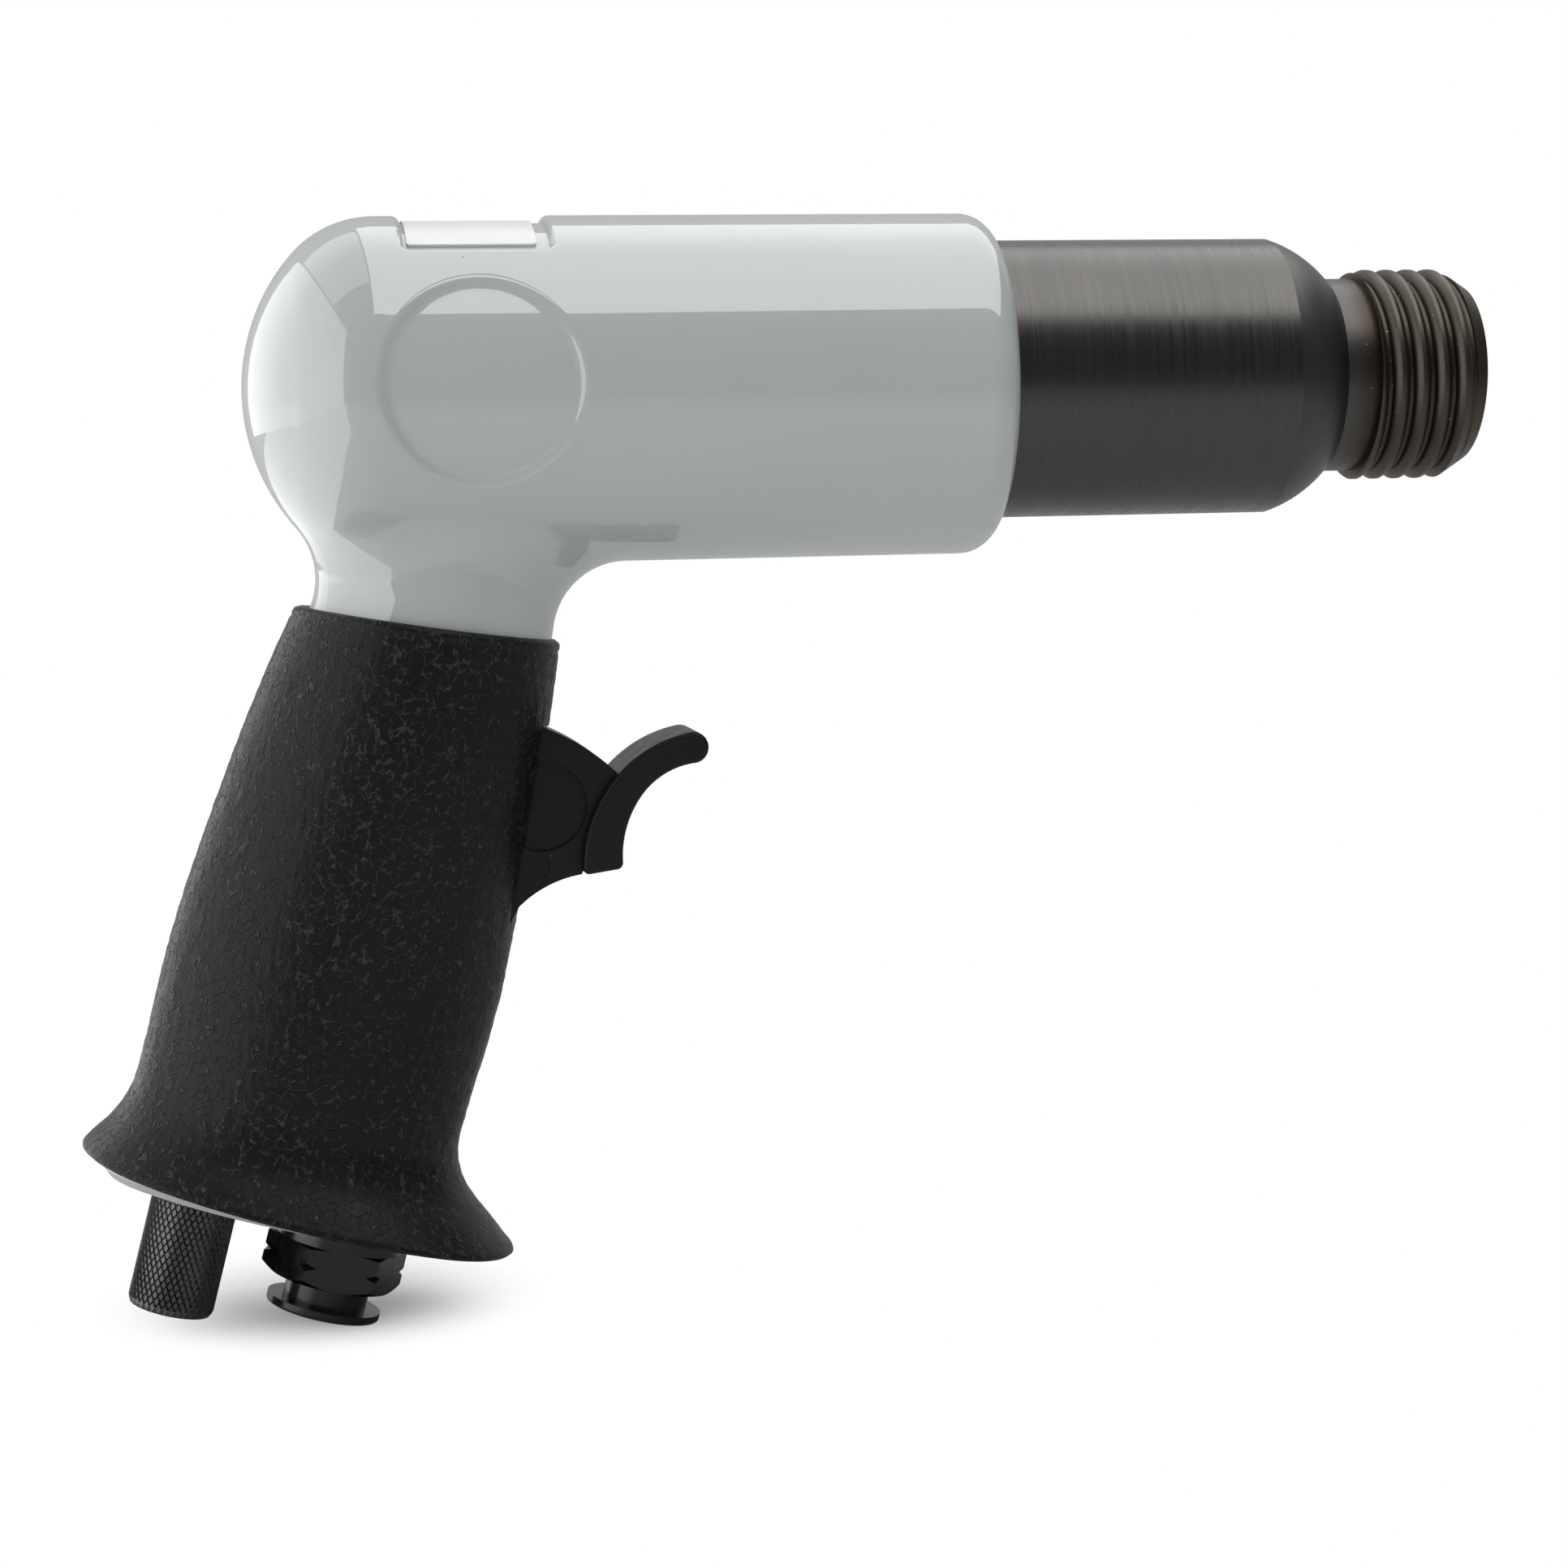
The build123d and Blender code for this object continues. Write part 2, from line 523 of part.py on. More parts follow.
# Trigger: a web in the handle's slot and a hooked blade for the finger
with BuildPart() as trigger:
    with BuildSketch(HANDLE_SIDE) as web:
        with BuildLine():
            top_back = side(WEB_BACK, PIVOT_DROP - WEB_RISE)
            top_front = side(WEB_FRONT, PIVOT_DROP - sqrt(WEB_TOP_R**2 - (WEB_FRONT - PIVOT_AHEAD) ** 2))
            boss_back = side(WEB_BACK, PIVOT_DROP)
            boss_front = side(PIVOT_AHEAD + BOSS_R, PIVOT_DROP)
            RadiusArc(top_back, top_front, WEB_TOP_R)
            ThreePointArc(boss_back, side(PIVOT_AHEAD, PIVOT_DROP + BOSS_R), boss_front)
            ThreePointArc(boss_front, side(*WEB_WAIST), side(*BLADE_HEEL))
            Line(side(*BLADE_HEEL), top_front)
            Line(top_back, boss_back)
        make_face()
    extrude(amount=WEB_T / 2, both=True)
    with BuildSketch(HANDLE_SIDE) as blade:
        with BuildLine():
            back = ThreePointArc(side(*BLADE_HEEL), side(*BLADE_BACK), side(*BLADE_CROOK))
            crown = TangentArc(back @ 1, side(*HOOK_TOP), tangent=back % 1)
            palm = ThreePointArc(side(*BLADE_TOE), side(*BLADE_PALM), side(*BLADE_BEND))
            under = TangentArc(palm @ 1, side(*HOOK_UNDER), tangent=palm % 1)
            TangentArc(crown @ 1, under @ 1, tangent=crown % 1)
            Line(back @ 0, palm @ 0)
        make_face()
        for corner in (BLADE_HEEL, BLADE_TOE, HOOK_UNDER):
            fillet(blade.vertices().sort_by_distance(side(*corner))[0], BLADE_CORNER)
    extrude(amount=BLADE_W / 2, both=True)
    fillet(trigger.faces().filter_by(Axis.Y).group_by(Axis.Y)[0].edges(), BLADE_EDGE)
    fillet(trigger.faces().filter_by(Axis.Y).group_by(Axis.Y)[-1].edges(), BLADE_EDGE)
    for face in (-1, 1):
        cheek = HANDLE_SIDE.offset(face * WEB_T / 2)
        with BuildSketch(cheek):
            with Locations(side(*POCKET)):
                Circle(POCKET_D / 2)
        extrude(amount=-face * POCKET_DEPTH, mode=Mode.SUBTRACT)
        with BuildSketch(cheek):
            with Locations(side(*MARK)):
                Circle(MARK_D / 2)
        extrude(amount=-face * MARK_DEPTH, mode=Mode.SUBTRACT)
    with BuildSketch(HANDLE_SIDE):
        with Locations(side(*PIVOT)):
            Circle(PIVOT_D / 2 + RUN)
    extrude(amount=WEB_T, both=True, mode=Mode.SUBTRACT)

trigger.part.label = "trigger"
export_step(trigger.part, "parts/trigger.step")

# Grip sleeve: rubber, with a rounded lip at the top and a flared skirt at the base
with BuildPart() as grip_sleeve:
    loft(sections=[oval(*station) for station in grip_stations()])
    loft(sections=[oval(*station) for station in flare_stations()])
    split(bisect_by=across(SLEEVE_TOP, SLEEVE_TOP_SLOPE), keep=Keep.BOTTOM)
    split(bisect_by=across(BASE_DROP - SLEEVE_RISE, SLEEVE_BASE_SLOPE), keep=Keep.TOP)
    fillet(grip_sleeve.faces().sort_by(HANDLE_AXIS)[-1].edges(), SLEEVE_LIP)
    fillet(grip_sleeve.faces().sort_by(HANDLE_AXIS)[0].edges(), SLEEVE_HEM)
    loft(sections=core_sections(FIT), mode=Mode.SUBTRACT)
    add(oval(BASE_DROP, FLANGE_DEPTH + 2 * FIT, FLANGE_W + 2 * FIT, FLANGE_AHEAD))
    extrude(amount=FLANGE_T + FIT, dir=UPWARD, mode=Mode.SUBTRACT)
    with BuildSketch(HANDLE_SIDE):
        add(web.sketch_local)
        offset(amount=SLOT_ROOM)
    extrude(amount=WEB_T / 2 + SLOT_ROOM, both=True, mode=Mode.SUBTRACT)

grip_sleeve.part.label = "grip_sleeve"
export_step(grip_sleeve.part, "parts/grip_sleeve.step")

# Blank label plate, bent to the pocket on top of the head
with BuildPart() as label_plate:
    with BuildSketch(round_head(LABEL_ARC / 2)):
        with Locations((LABEL_PLATE_X, LABEL_R + LABEL_T / 2)):
            Rectangle(LABEL_LEN, LABEL_T)
    revolve(axis=HEAD_AXIS, revolution_arc=LABEL_ARC)
    fillet(corner_edges(label_plate), LABEL_CORNER)

label_plate.part.label = "label_plate"
export_step(label_plate.part, "parts/label_plate.step")

# Barrel: threaded nose, domed shoulder, pilot in the housing and screwed rear end
with BuildPart() as barrel:
    with BuildSketch(Plane.XZ):
        with BuildLine():
            nose = Polyline(
                (BORE_X, PISTON_D / 2),
                (BORE_X, SHANK_D / 2),
                (0, SHANK_D / 2),
                (0, NOSE_R),
                (-NOSE_LEN, NOSE_R),
                (-NOSE_LEN, NECK_D / 2),
                (SHOULDER_X, NECK_D / 2),
            )
            shoulder = RadiusArc(nose @ 1, (SHOULDER_X - SHOULDER_LEN, BARREL_R), -SHOULDER_R)
            Polyline(
                shoulder @ 1,
                (SEAL_X + SEAL_WIRE / 2 + FIT, BARREL_R),
                (SEAL_X + SEAL_WIRE / 2 + FIT, BARREL_R - SEAL_WIRE),
                (SEAL_X - SEAL_WIRE / 2 - FIT, BARREL_R - SEAL_WIRE),
                (SEAL_X - SEAL_WIRE / 2 - FIT, BARREL_R),
                (THREAD_X, BARREL_R),
                (THREAD_X, THREAD_R),
                (BARREL_REAR, THREAD_R),
                (BARREL_REAR, PISTON_D / 2),
                nose @ 0,
            )
        make_face()
    revolve(axis=BARREL_AXIS)
    # groove between the round crests that hold the chisel's retainer spring
    with BuildLine():
        turns = Helix(NOSE_PITCH, NOSE_LEN + NOSE_PITCH, NOSE_R, (NOSE_PITCH / 2, 0, 0), (-1, 0, 0))
    with BuildSketch(Plane(origin=turns @ 0, x_dir=(-1, 0, 0), z_dir=turns % 0)):
        with BuildLine():
            mouth = (NOSE_PITCH - NOSE_CREST_FLAT) / 2
            root = NOSE_ROOT_FLAT / 2
            bulge = (mouth + root) / 2
            bulge_depth = NOSE_THREAD_DEPTH * CREST_FULLNESS
            rise = ThreePointArc((-mouth, 0), (-bulge, -bulge_depth), (-root, -NOSE_THREAD_DEPTH))
            fall = ThreePointArc((root, -NOSE_THREAD_DEPTH), (bulge, -bulge_depth), (mouth, 0))
            Line(rise @ 1, fall @ 0)
            Polyline(fall @ 1, (mouth, NOSE_THREAD_DEPTH), (-mouth, NOSE_THREAD_DEPTH), rise @ 0)
        make_face()
    sweep(is_frenet=True, mode=Mode.SUBTRACT)
    # bevel of the nose, across the ends of the thread
    with BuildSketch(Plane.XZ):
        with BuildLine():
            Polyline(
                (0, NOSE_R - NOSE_BEVEL),
                (-NOSE_BEVEL_LEN, NOSE_R),
                (-NOSE_BEVEL_LEN, NOSE_D),
                (NOSE_BEVEL_LEN, NOSE_D),
                (NOSE_BEVEL_LEN, NOSE_R - NOSE_BEVEL),
                close=True,
            )
        make_face()
    revolve(axis=BARREL_AXIS, mode=Mode.SUBTRACT)
    # exhaust ports, return air passages and the ports that join them to the bore
    with BuildSketch(facing(BARREL_REAR)):
        with PolarLocations(PASSAGE_OUT, PASSAGE_COUNT, PASSAGE_TURN):
            Circle(PASSAGE_D / 2)
    extrude(amount=PORT_X - BARREL_REAR, mode=Mode.SUBTRACT)
    for port in range(PASSAGE_COUNT):
        turn = radians(PASSAGE_TURN + 360 / PASSAGE_COUNT * port)
        with BuildSketch(Plane(origin=(PORT_X, 0, 0), z_dir=(0, cos(turn), sin(turn)))):
            Circle(PASSAGE_D / 2)
        extrude(amount=PASSAGE_OUT, mode=Mode.SUBTRACT)
        turn += radians(180 / PASSAGE_COUNT)
        with BuildSketch(Plane(origin=(EXHAUST_X, 0, 0), z_dir=(0, cos(turn), sin(turn)))):
            Circle(EXHAUST_D / 2)
        extrude(amount=BARREL_D, mode=Mode.SUBTRACT)

barrel.part.label = "barrel"
export_step(barrel.part, "parts/barrel.step")

# Seal between the barrel's pilot and the housing
with BuildPart() as barrel_seal:
    with Locations(facing(SEAL_X).location):
        Torus(BARREL_R - SEAL_WIRE / 2, SEAL_WIRE / 2)

barrel_seal.part.label = "barrel_seal"
export_step(barrel_seal.part, "parts/barrel_seal.step")

# Piston, at rest against the valve end of its bore
with BuildPart() as piston:
    with BuildSketch(facing(PISTON_X)):
        Circle(PISTON_D / 2 - RUN)
    extrude(amount=PISTON_LEN)
    chamfer(piston.edges().filter_by(GeomType.CIRCLE), PISTON_CHAMFER)
    for share in (1 / 3, 2 / 3):
        with BuildSketch(facing(PISTON_X + PISTON_LEN * share)):
            Circle(PISTON_D / 2)
            Circle(PISTON_D / 2 - PISTON_GROOVE, mode=Mode.SUBTRACT)
        extrude(amount=PISTON_GROOVE, both=True, mode=Mode.SUBTRACT)

piston.part.label = "piston"
export_step(piston.part, "parts/piston.step")

# Valve body: closes the barrel, with a pocket in its back for the disc and slots to the return passages
with BuildPart() as valve_body:
    with BuildSketch(facing(COVER_X)):
        Circle(THREAD_R)
        Circle(VALVE_PORT_D / 2, mode=Mode.SUBTRACT)
        with PolarLocations(PASSAGE_OUT, PASSAGE_COUNT, PASSAGE_TURN):
            Circle(PASSAGE_D / 2, mode=Mode.SUBTRACT)
        with Locations((0, DOWEL_OUT)):
            Circle(DOWEL_D / 2, mode=Mode.SUBTRACT)
    extrude(amount=VALVE_BODY_LEN)
    with BuildSketch(facing(COVER_X)):
        Circle(DISC_POCKET_R)
        with PolarLocations(PASSAGE_OUT / 2, PASSAGE_COUNT, PASSAGE_TURN):
            Rectangle(PASSAGE_OUT, PASSAGE_D)
    extrude(amount=DISC_POCKET_LEN, mode=Mode.SUBTRACT)

valve_body.part.label = "valve_body"
export_step(valve_body.part, "parts/valve_body.step")

# Valve disc, at rest against the cover
with BuildPart() as valve_disc:
    with BuildSketch(facing(COVER_X + RUN)):
        Circle(DISC_D / 2)
    extrude(amount=DISC_T)
    chamfer(valve_disc.edges().filter_by(GeomType.CIRCLE), DISC_CHAMFER)

valve_disc.part.label = "valve_disc"
export_step(valve_disc.part, "parts/valve_disc.step")

# Valve cover, with the air holes that the disc shuts
with BuildPart() as valve_cover:
    with BuildSketch(facing(GASKET_X)):
        Circle(THREAD_R)
        with PolarLocations(COVER_RING_D / 2, COVER_HOLES):
            Circle(COVER_HOLE_D / 2, mode=Mode.SUBTRACT)
        with Locations((0, DOWEL_OUT)):
            Circle(DOWEL_D / 2, mode=Mode.SUBTRACT)
    extrude(amount=VALVE_COVER_LEN)

valve_cover.part.label = "valve_cover"
export_step(valve_cover.part, "parts/valve_cover.step")

# Dowel that keeps the valve body and its cover in line
with BuildPart() as valve_dowel:
    with BuildSketch(facing(GASKET_X)):
        with Locations((0, DOWEL_OUT)):
            Circle(DOWEL_D / 2 - RUN)
    extrude(amount=VALVE_COVER_LEN + VALVE_BODY_LEN)

valve_dowel.part.label = "valve_dowel"
export_step(valve_dowel.part, "parts/valve_dowel.step")

# Gasket that the barrel clamps against the floor of its socket
with BuildPart() as rear_gasket:
    with BuildSketch(facing(SOCKET_END)):
        Circle(THREAD_R)
        Circle(CHAMBER_D / 2, mode=Mode.SUBTRACT)
    extrude(amount=GASKET_T)

rear_gasket.part.label = "rear_gasket"
export_step(rear_gasket.part, "parts/rear_gasket.step")

# Pin that the trigger turns on
with BuildPart() as trigger_pin:
    with BuildSketch(HANDLE_SIDE):
        with Locations(side(*PIVOT)):
            Circle(PIVOT_D / 2)
    extrude(amount=PIVOT_PIN_LEN / 2, both=True)

trigger_pin.part.label = "trigger_pin"
export_step(trigger_pin.part, "parts/trigger_pin.step")

# Throttle bush: guides the rod, carries its seal and ends in the ball's seat
with BuildPart() as throttle_bush:
    with BuildSketch(along(SLOT_BACK, ROD_DROP)):
        Circle(BUSH_D / 2)
    extrude(amount=-BUSH_LEN)
    with BuildSketch(along(SLOT_BACK, ROD_DROP)):
        Circle(ROD_D / 2 + RUN)
    extrude(amount=-BUSH_GUIDE, mode=Mode.SUBTRACT)
    with BuildSketch(along(ROD_SEAL_AHEAD, ROD_DROP)):
        Circle(ROD_D / 2 + ROD_SEAL_WIRE)
    extrude(amount=ROD_SEAL_WIRE / 2 + FIT, both=True, mode=Mode.SUBTRACT)
    with BuildSketch(along(CAVITY_AHEAD, ROD_DROP)):
        Circle(BUSH_CAVITY_D / 2)
    extrude(amount=-CAVITY_LEN, mode=Mode.SUBTRACT)
    with BuildSketch(along(BUSH_BACK, ROD_DROP)):
        Circle(SEAT_D / 2)
    extrude(amount=SEAT_T, mode=Mode.SUBTRACT)
    with BuildSketch(across(ROD_DROP)):
        with Locations((PORT_AHEAD, 0)):
            Circle(BUSH_PORT_D / 2)
    extrude(amount=BUSH_D, mode=Mode.SUBTRACT)

throttle_bush.part.label = "throttle_bush"
export_step(throttle_bush.part, "parts/throttle_bush.step")

# Seal round the throttle rod
with BuildPart() as rod_seal:
    with Locations(along(ROD_SEAL_AHEAD, ROD_DROP).location):
        Torus(ROD_D / 2 + ROD_SEAL_WIRE / 2, ROD_SEAL_WIRE / 2 - RUN)

rod_seal.part.label = "rod_seal"
export_step(rod_seal.part, "parts/rod_seal.step")

# Throttle rod, which the trigger pushes to lift the ball
with BuildPart() as throttle_rod:
    with BuildSketch(along(ROD_AHEAD, ROD_DROP)):
        Circle(ROD_D / 2)
    extrude(amount=CAVITY_AHEAD - ROD_AHEAD)
    chamfer(throttle_rod.faces().sort_by(AHEAD_AXIS)[-1].edges(), ROD_CHAMFER)
    with BuildSketch(along(CAVITY_AHEAD, ROD_DROP)):
        Circle(ROD_TIP_D / 2)
    extrude(amount=BALL_AHEAD + BALL_D / 2 + TOUCH - CAVITY_AHEAD)

throttle_rod.part.label = "throttle_rod"
export_step(throttle_rod.part, "parts/throttle_rod.step")

# Throttle ball, on its seat
with BuildPart() as throttle_ball:
    with Locations(along(BALL_AHEAD, ROD_DROP).location):
        Sphere(BALL_D / 2)

throttle_ball.part.label = "throttle_ball"
export_step(throttle_ball.part, "parts/throttle_ball.step")

# Throttle spring, between the ball and the closed end of its bore
with BuildPart() as throttle_spring:
    with BuildLine():
        coil_len = SPRING_FRONT - SPRING_BACK
        coil_start = along(SPRING_BACK, ROD_DROP).origin
        coil = Helix(coil_len / SPRING_TURNS, coil_len, SPRING_R, coil_start, AHEAD)
    with BuildSketch(Plane(origin=coil @ 0, z_dir=coil % 0)):
        Circle(SPRING_WIRE / 2)
    sweep(is_frenet=True)

throttle_spring.part.label = "throttle_spring"
export_step(throttle_spring.part, "parts/throttle_spring.step")

# Inlet bushing: screwed body, collar and notched hexagon with a female pipe thread
with BuildPart() as inlet_bushing:
    with BuildSketch(across(HEX_DROP)):
        with Locations((INLET_AHEAD, 0)):
            RegularPolygon(HEX_AF / 2, 6, major_radius=False, rotation=HEX_TURN)
    extrude(amount=-HEX_LEN)
    with BuildSketch(HANDLE_SIDE):
        with BuildLine():
            corner_r = HEX_AF / sqrt(3)
            flat_r = HEX_AF / 2
            Polyline(
                side(INLET_AHEAD, HEX_DROP),
                side(INLET_AHEAD + flat_r, HEX_DROP),
                side(INLET_AHEAD + corner_r, HEX_DROP + HEX_TOP_CHAMFER),
                side(INLET_AHEAD + corner_r, HEX_DROP + (HEX_LEN - HEX_NOTCH_W) / 2),
                side(INLET_AHEAD + corner_r - HEX_NOTCH_DEPTH, HEX_DROP + HEX_LEN / 2),
                side(INLET_AHEAD + corner_r, HEX_DROP + (HEX_LEN + HEX_NOTCH_W) / 2),
                side(INLET_AHEAD + corner_r, MOUTH_DROP - HEX_CHAMFER),
                side(INLET_AHEAD + flat_r, MOUTH_DROP),
                side(INLET_AHEAD, MOUTH_DROP),
                close=True,
            )
        make_face()
    revolve(axis=INLET_AXIS, mode=Mode.INTERSECT)
    with BuildSketch(across(HEX_DROP)):
        with Locations((INLET_AHEAD, 0)):
            Circle(COLLAR_D / 2)
    extrude(amount=COLLAR_LEN)
    with BuildSketch(across(BASE_DROP + WASHER_T)):
        with Locations((INLET_AHEAD, 0)):
            Circle(INLET_BODY_D / 2)
    extrude(amount=WASHER_T + INLET_BODY_LEN)
    with BuildSketch(across(MOUTH_DROP)):
        with Locations((INLET_AHEAD, 0)):
            Circle(INLET_THREAD_D / 2)
    extrude(amount=INLET_THREAD_LEN, mode=Mode.SUBTRACT)
    with BuildSketch(across(MOUTH_DROP)):
        with Locations((INLET_AHEAD, 0)):
            Circle(INLET_BORE_D / 2)
    extrude(amount=BASE_DROP, mode=Mode.SUBTRACT)

inlet_bushing.part.label = "inlet_bushing"
export_step(inlet_bushing.part, "parts/inlet_bushing.step")

# Washer under the inlet bushing's collar
with BuildPart() as inlet_washer:
    with BuildSketch(across(BASE_DROP)):
        with Locations((INLET_AHEAD, 0)):
            Circle(COLLAR_D / 2)
            Circle(INLET_BODY_D / 2 + FIT, mode=Mode.SUBTRACT)
    extrude(amount=-WASHER_T)

inlet_washer.part.label = "inlet_washer"
export_step(inlet_washer.part, "parts/inlet_washer.step")

# Strainer disc on top of the inlet bushing
with BuildPart() as inlet_strainer:
    with BuildSketch(across(INLET_TOP)):
        with Locations((INLET_AHEAD, 0)):
            Circle(INLET_CHAMBER_D / 2 - FIT)
            Circle(STRAINER_HOLE_D / 2, mode=Mode.SUBTRACT)
            with PolarLocations(STRAINER_RING_D / 2, STRAINER_HOLES):
                Circle(STRAINER_HOLE_D / 2, mode=Mode.SUBTRACT)
    extrude(amount=STRAINER_T)

inlet_strainer.part.label = "inlet_strainer"
export_step(inlet_strainer.part, "parts/inlet_strainer.step")

# Dust plug in the inlet's mouth
with BuildPart() as dust_plug:
    with BuildSketch(across(MOUTH_DROP - PLUG_INSERT)):
        with Locations((INLET_AHEAD, 0)):
            Circle(INLET_THREAD_D / 2 - PLUG_ROOM)
    extrude(amount=-(PLUG_INSERT + PLUG_NECK))
    with BuildSketch(across(MOUTH_DROP + PLUG_NECK)):
        with Locations((INLET_AHEAD, 0)):
            Circle(PLUG_FLANGE_D / 2)
    extrude(amount=-PLUG_FLANGE_T)
    fillet(dust_plug.edges().group_by(HANDLE_AXIS)[0], PLUG_FLANGE_EDGE)

dust_plug.part.label = "dust_plug"
export_step(dust_plug.part, "parts/dust_plug.step")

# Regulator spool: turns in the handle and opens its window to the inlet's drilling
with BuildPart() as regulator_spool:
    with BuildSketch(across(SPOOL_TOP)):
        with Locations((KNOB_AHEAD, 0)):
            Circle(SPOOL_R)
    extrude(amount=SPOOL_TOP - KNOB_DROP)
    with BuildSketch(across(KNOB_DROP)):
        with Locations((KNOB_AHEAD, 0)):
            Circle(SPOOL_STEM_D / 2)
    extrude(amount=-SPOOL_STEM_LEN)
    with BuildSketch(across(SPOOL_TOP)):
        with Locations((KNOB_AHEAD, 0)):
            Circle(SPOOL_BORE_D / 2)
    extrude(amount=SPOOL_TOP - CROSS_DROP - SPOOL_WINDOW_D / 2, mode=Mode.SUBTRACT)
    with BuildSketch(along(KNOB_AHEAD, CROSS_DROP)):
        Circle(SPOOL_WINDOW_D / 2)
    extrude(amount=SPOOL_D, mode=Mode.SUBTRACT)
    for drop, floor_r, groove_w in SPOOL_GROOVES:
        with BuildSketch(across(drop)):
            with Locations((KNOB_AHEAD, 0)):
                Circle(SPOOL_D)
                Circle(floor_r, mode=Mode.SUBTRACT)
        extrude(amount=groove_w / 2, both=True, mode=Mode.SUBTRACT)

regulator_spool.part.label = "regulator_spool"
export_step(regulator_spool.part, "parts/regulator_spool.step")

# Seal in the spool's lower groove
with BuildPart() as regulator_seal:
    with Locations(across(SPOOL_SEAL_DROP).location * Location((KNOB_AHEAD, 0, 0))):
        Torus(SPOOL_R - SPOOL_SEAL_WIRE / 2, SPOOL_SEAL_WIRE / 2 - RUN)

regulator_seal.part.label = "regulator_seal"
export_step(regulator_seal.part, "parts/regulator_seal.step")

# Cross pin that keeps the spool in the handle
with BuildPart() as regulator_pin:
    with BuildSketch(HANDLE_SIDE):
        with Locations(side(SPOOL_PIN_AHEAD, SPOOL_PIN_DROP)):
            Circle(SPOOL_PIN_D / 2)
    extrude(amount=SPOOL_PIN_LEN / 2, both=True)

regulator_pin.part.label = "regulator_pin"
export_step(regulator_pin.part, "parts/regulator_pin.step")

# Regulator knob, pressed on the spool's stem
with BuildPart() as regulator_knob:
    with BuildSketch(across(KNOB_DROP)):
        with Locations((KNOB_AHEAD, 0)):
            Circle(KNOB_D / 2)
    extrude(amount=-KNOB_LEN)
    fillet(regulator_knob.edges().group_by(HANDLE_AXIS)[0], KNOB_EDGE)
    with BuildSketch(across(KNOB_DROP)):
        with Locations((KNOB_AHEAD, 0)):
            Circle(SPOOL_STEM_D / 2)
    extrude(amount=-SPOOL_STEM_LEN, mode=Mode.SUBTRACT)

regulator_knob.part.label = "regulator_knob"
export_step(regulator_knob.part, "parts/regulator_knob.step")
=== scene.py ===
import json
from math import atan, atan2, cos, pi, radians, sin, sqrt, tan

import bpy
from mathutils import Matrix, Vector, noise


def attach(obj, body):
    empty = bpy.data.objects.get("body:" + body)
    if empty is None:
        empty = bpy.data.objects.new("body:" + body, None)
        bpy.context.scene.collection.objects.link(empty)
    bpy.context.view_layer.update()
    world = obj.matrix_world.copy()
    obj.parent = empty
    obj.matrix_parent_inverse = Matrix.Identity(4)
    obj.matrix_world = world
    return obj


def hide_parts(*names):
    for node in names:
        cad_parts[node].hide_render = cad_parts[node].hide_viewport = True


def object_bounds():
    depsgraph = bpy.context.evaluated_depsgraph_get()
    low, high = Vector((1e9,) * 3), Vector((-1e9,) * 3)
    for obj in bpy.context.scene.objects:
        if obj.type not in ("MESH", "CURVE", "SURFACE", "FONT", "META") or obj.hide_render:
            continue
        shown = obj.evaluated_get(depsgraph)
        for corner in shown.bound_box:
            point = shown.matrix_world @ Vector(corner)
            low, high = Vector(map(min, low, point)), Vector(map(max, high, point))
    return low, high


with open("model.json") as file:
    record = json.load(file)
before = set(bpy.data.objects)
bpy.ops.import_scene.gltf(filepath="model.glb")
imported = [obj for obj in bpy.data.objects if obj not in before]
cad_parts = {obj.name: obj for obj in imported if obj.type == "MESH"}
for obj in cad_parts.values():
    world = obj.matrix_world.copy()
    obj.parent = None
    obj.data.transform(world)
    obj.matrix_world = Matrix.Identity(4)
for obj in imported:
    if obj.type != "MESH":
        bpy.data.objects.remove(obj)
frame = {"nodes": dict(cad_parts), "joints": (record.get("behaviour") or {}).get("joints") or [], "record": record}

cad_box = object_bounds()
MM = 0.001

# Handle: its axis comes from the regulator's joint, which turns about a parallel line behind it
REGULATOR_TURN = next(joint for joint in frame["joints"] if joint["name"] == "regulator_turn")
UPWARD = -Vector(REGULATOR_TURN["axis"])
AHEAD = Vector((0, 1, 0)).cross(UPWARD)
KNOB_BEHIND = 12.55 * MM
ON_HANDLE_AXIS = Vector(REGULATOR_TURN["pos_m"]) + AHEAD * KNOB_BEHIND
HANDLE_ORIGIN = ON_HANDLE_AXIS - UPWARD * (ON_HANDLE_AXIS.z / UPWARD.z)

# Camera, as the photograph was taken, with the sensor in millimetres and the angles in degrees
PHOTO_SIZE = 1932
FOCAL_PIXELS = 4072
SENSOR = 36.0
AZIMUTH = -9.8
ELEVATION = 5.5
ROLL = -1.0
DISTANCE = 450 * MM
LOOK_AT = Vector((-96.0, 0, -54.3)) * MM
CLIP_START = 10 * MM

# Rubber sleeve, in millimetres: its sections' places, depths, widths, centres ahead of the axis and end radii
SLEEVE_DROPS = (28.0, 45.25, 62.5, 79.75, 97.0, 101.0, 105.0, 109.0, 113.0)
SLEEVE_DEPTHS = (33.8, 38.9, 42.4, 44.6, 43.9, 44.5, 48.2, 55.5, 62.4)
SLEEVE_WIDTHS = (31.6, 33.2, 34.2, 34.5, 34.0, 34.4, 37.2, 42.0, 46.8)
SLEEVE_AHEADS = (0.2, -0.55, -1.1, -1.5, -2.0, -2.0, -1.6, -0.6, 0.8)
SLEEVE_END_R = (12.0, 12.0, 12.0, 12.0, 12.0, 13.0, 15.5, 18.5, 21.0)
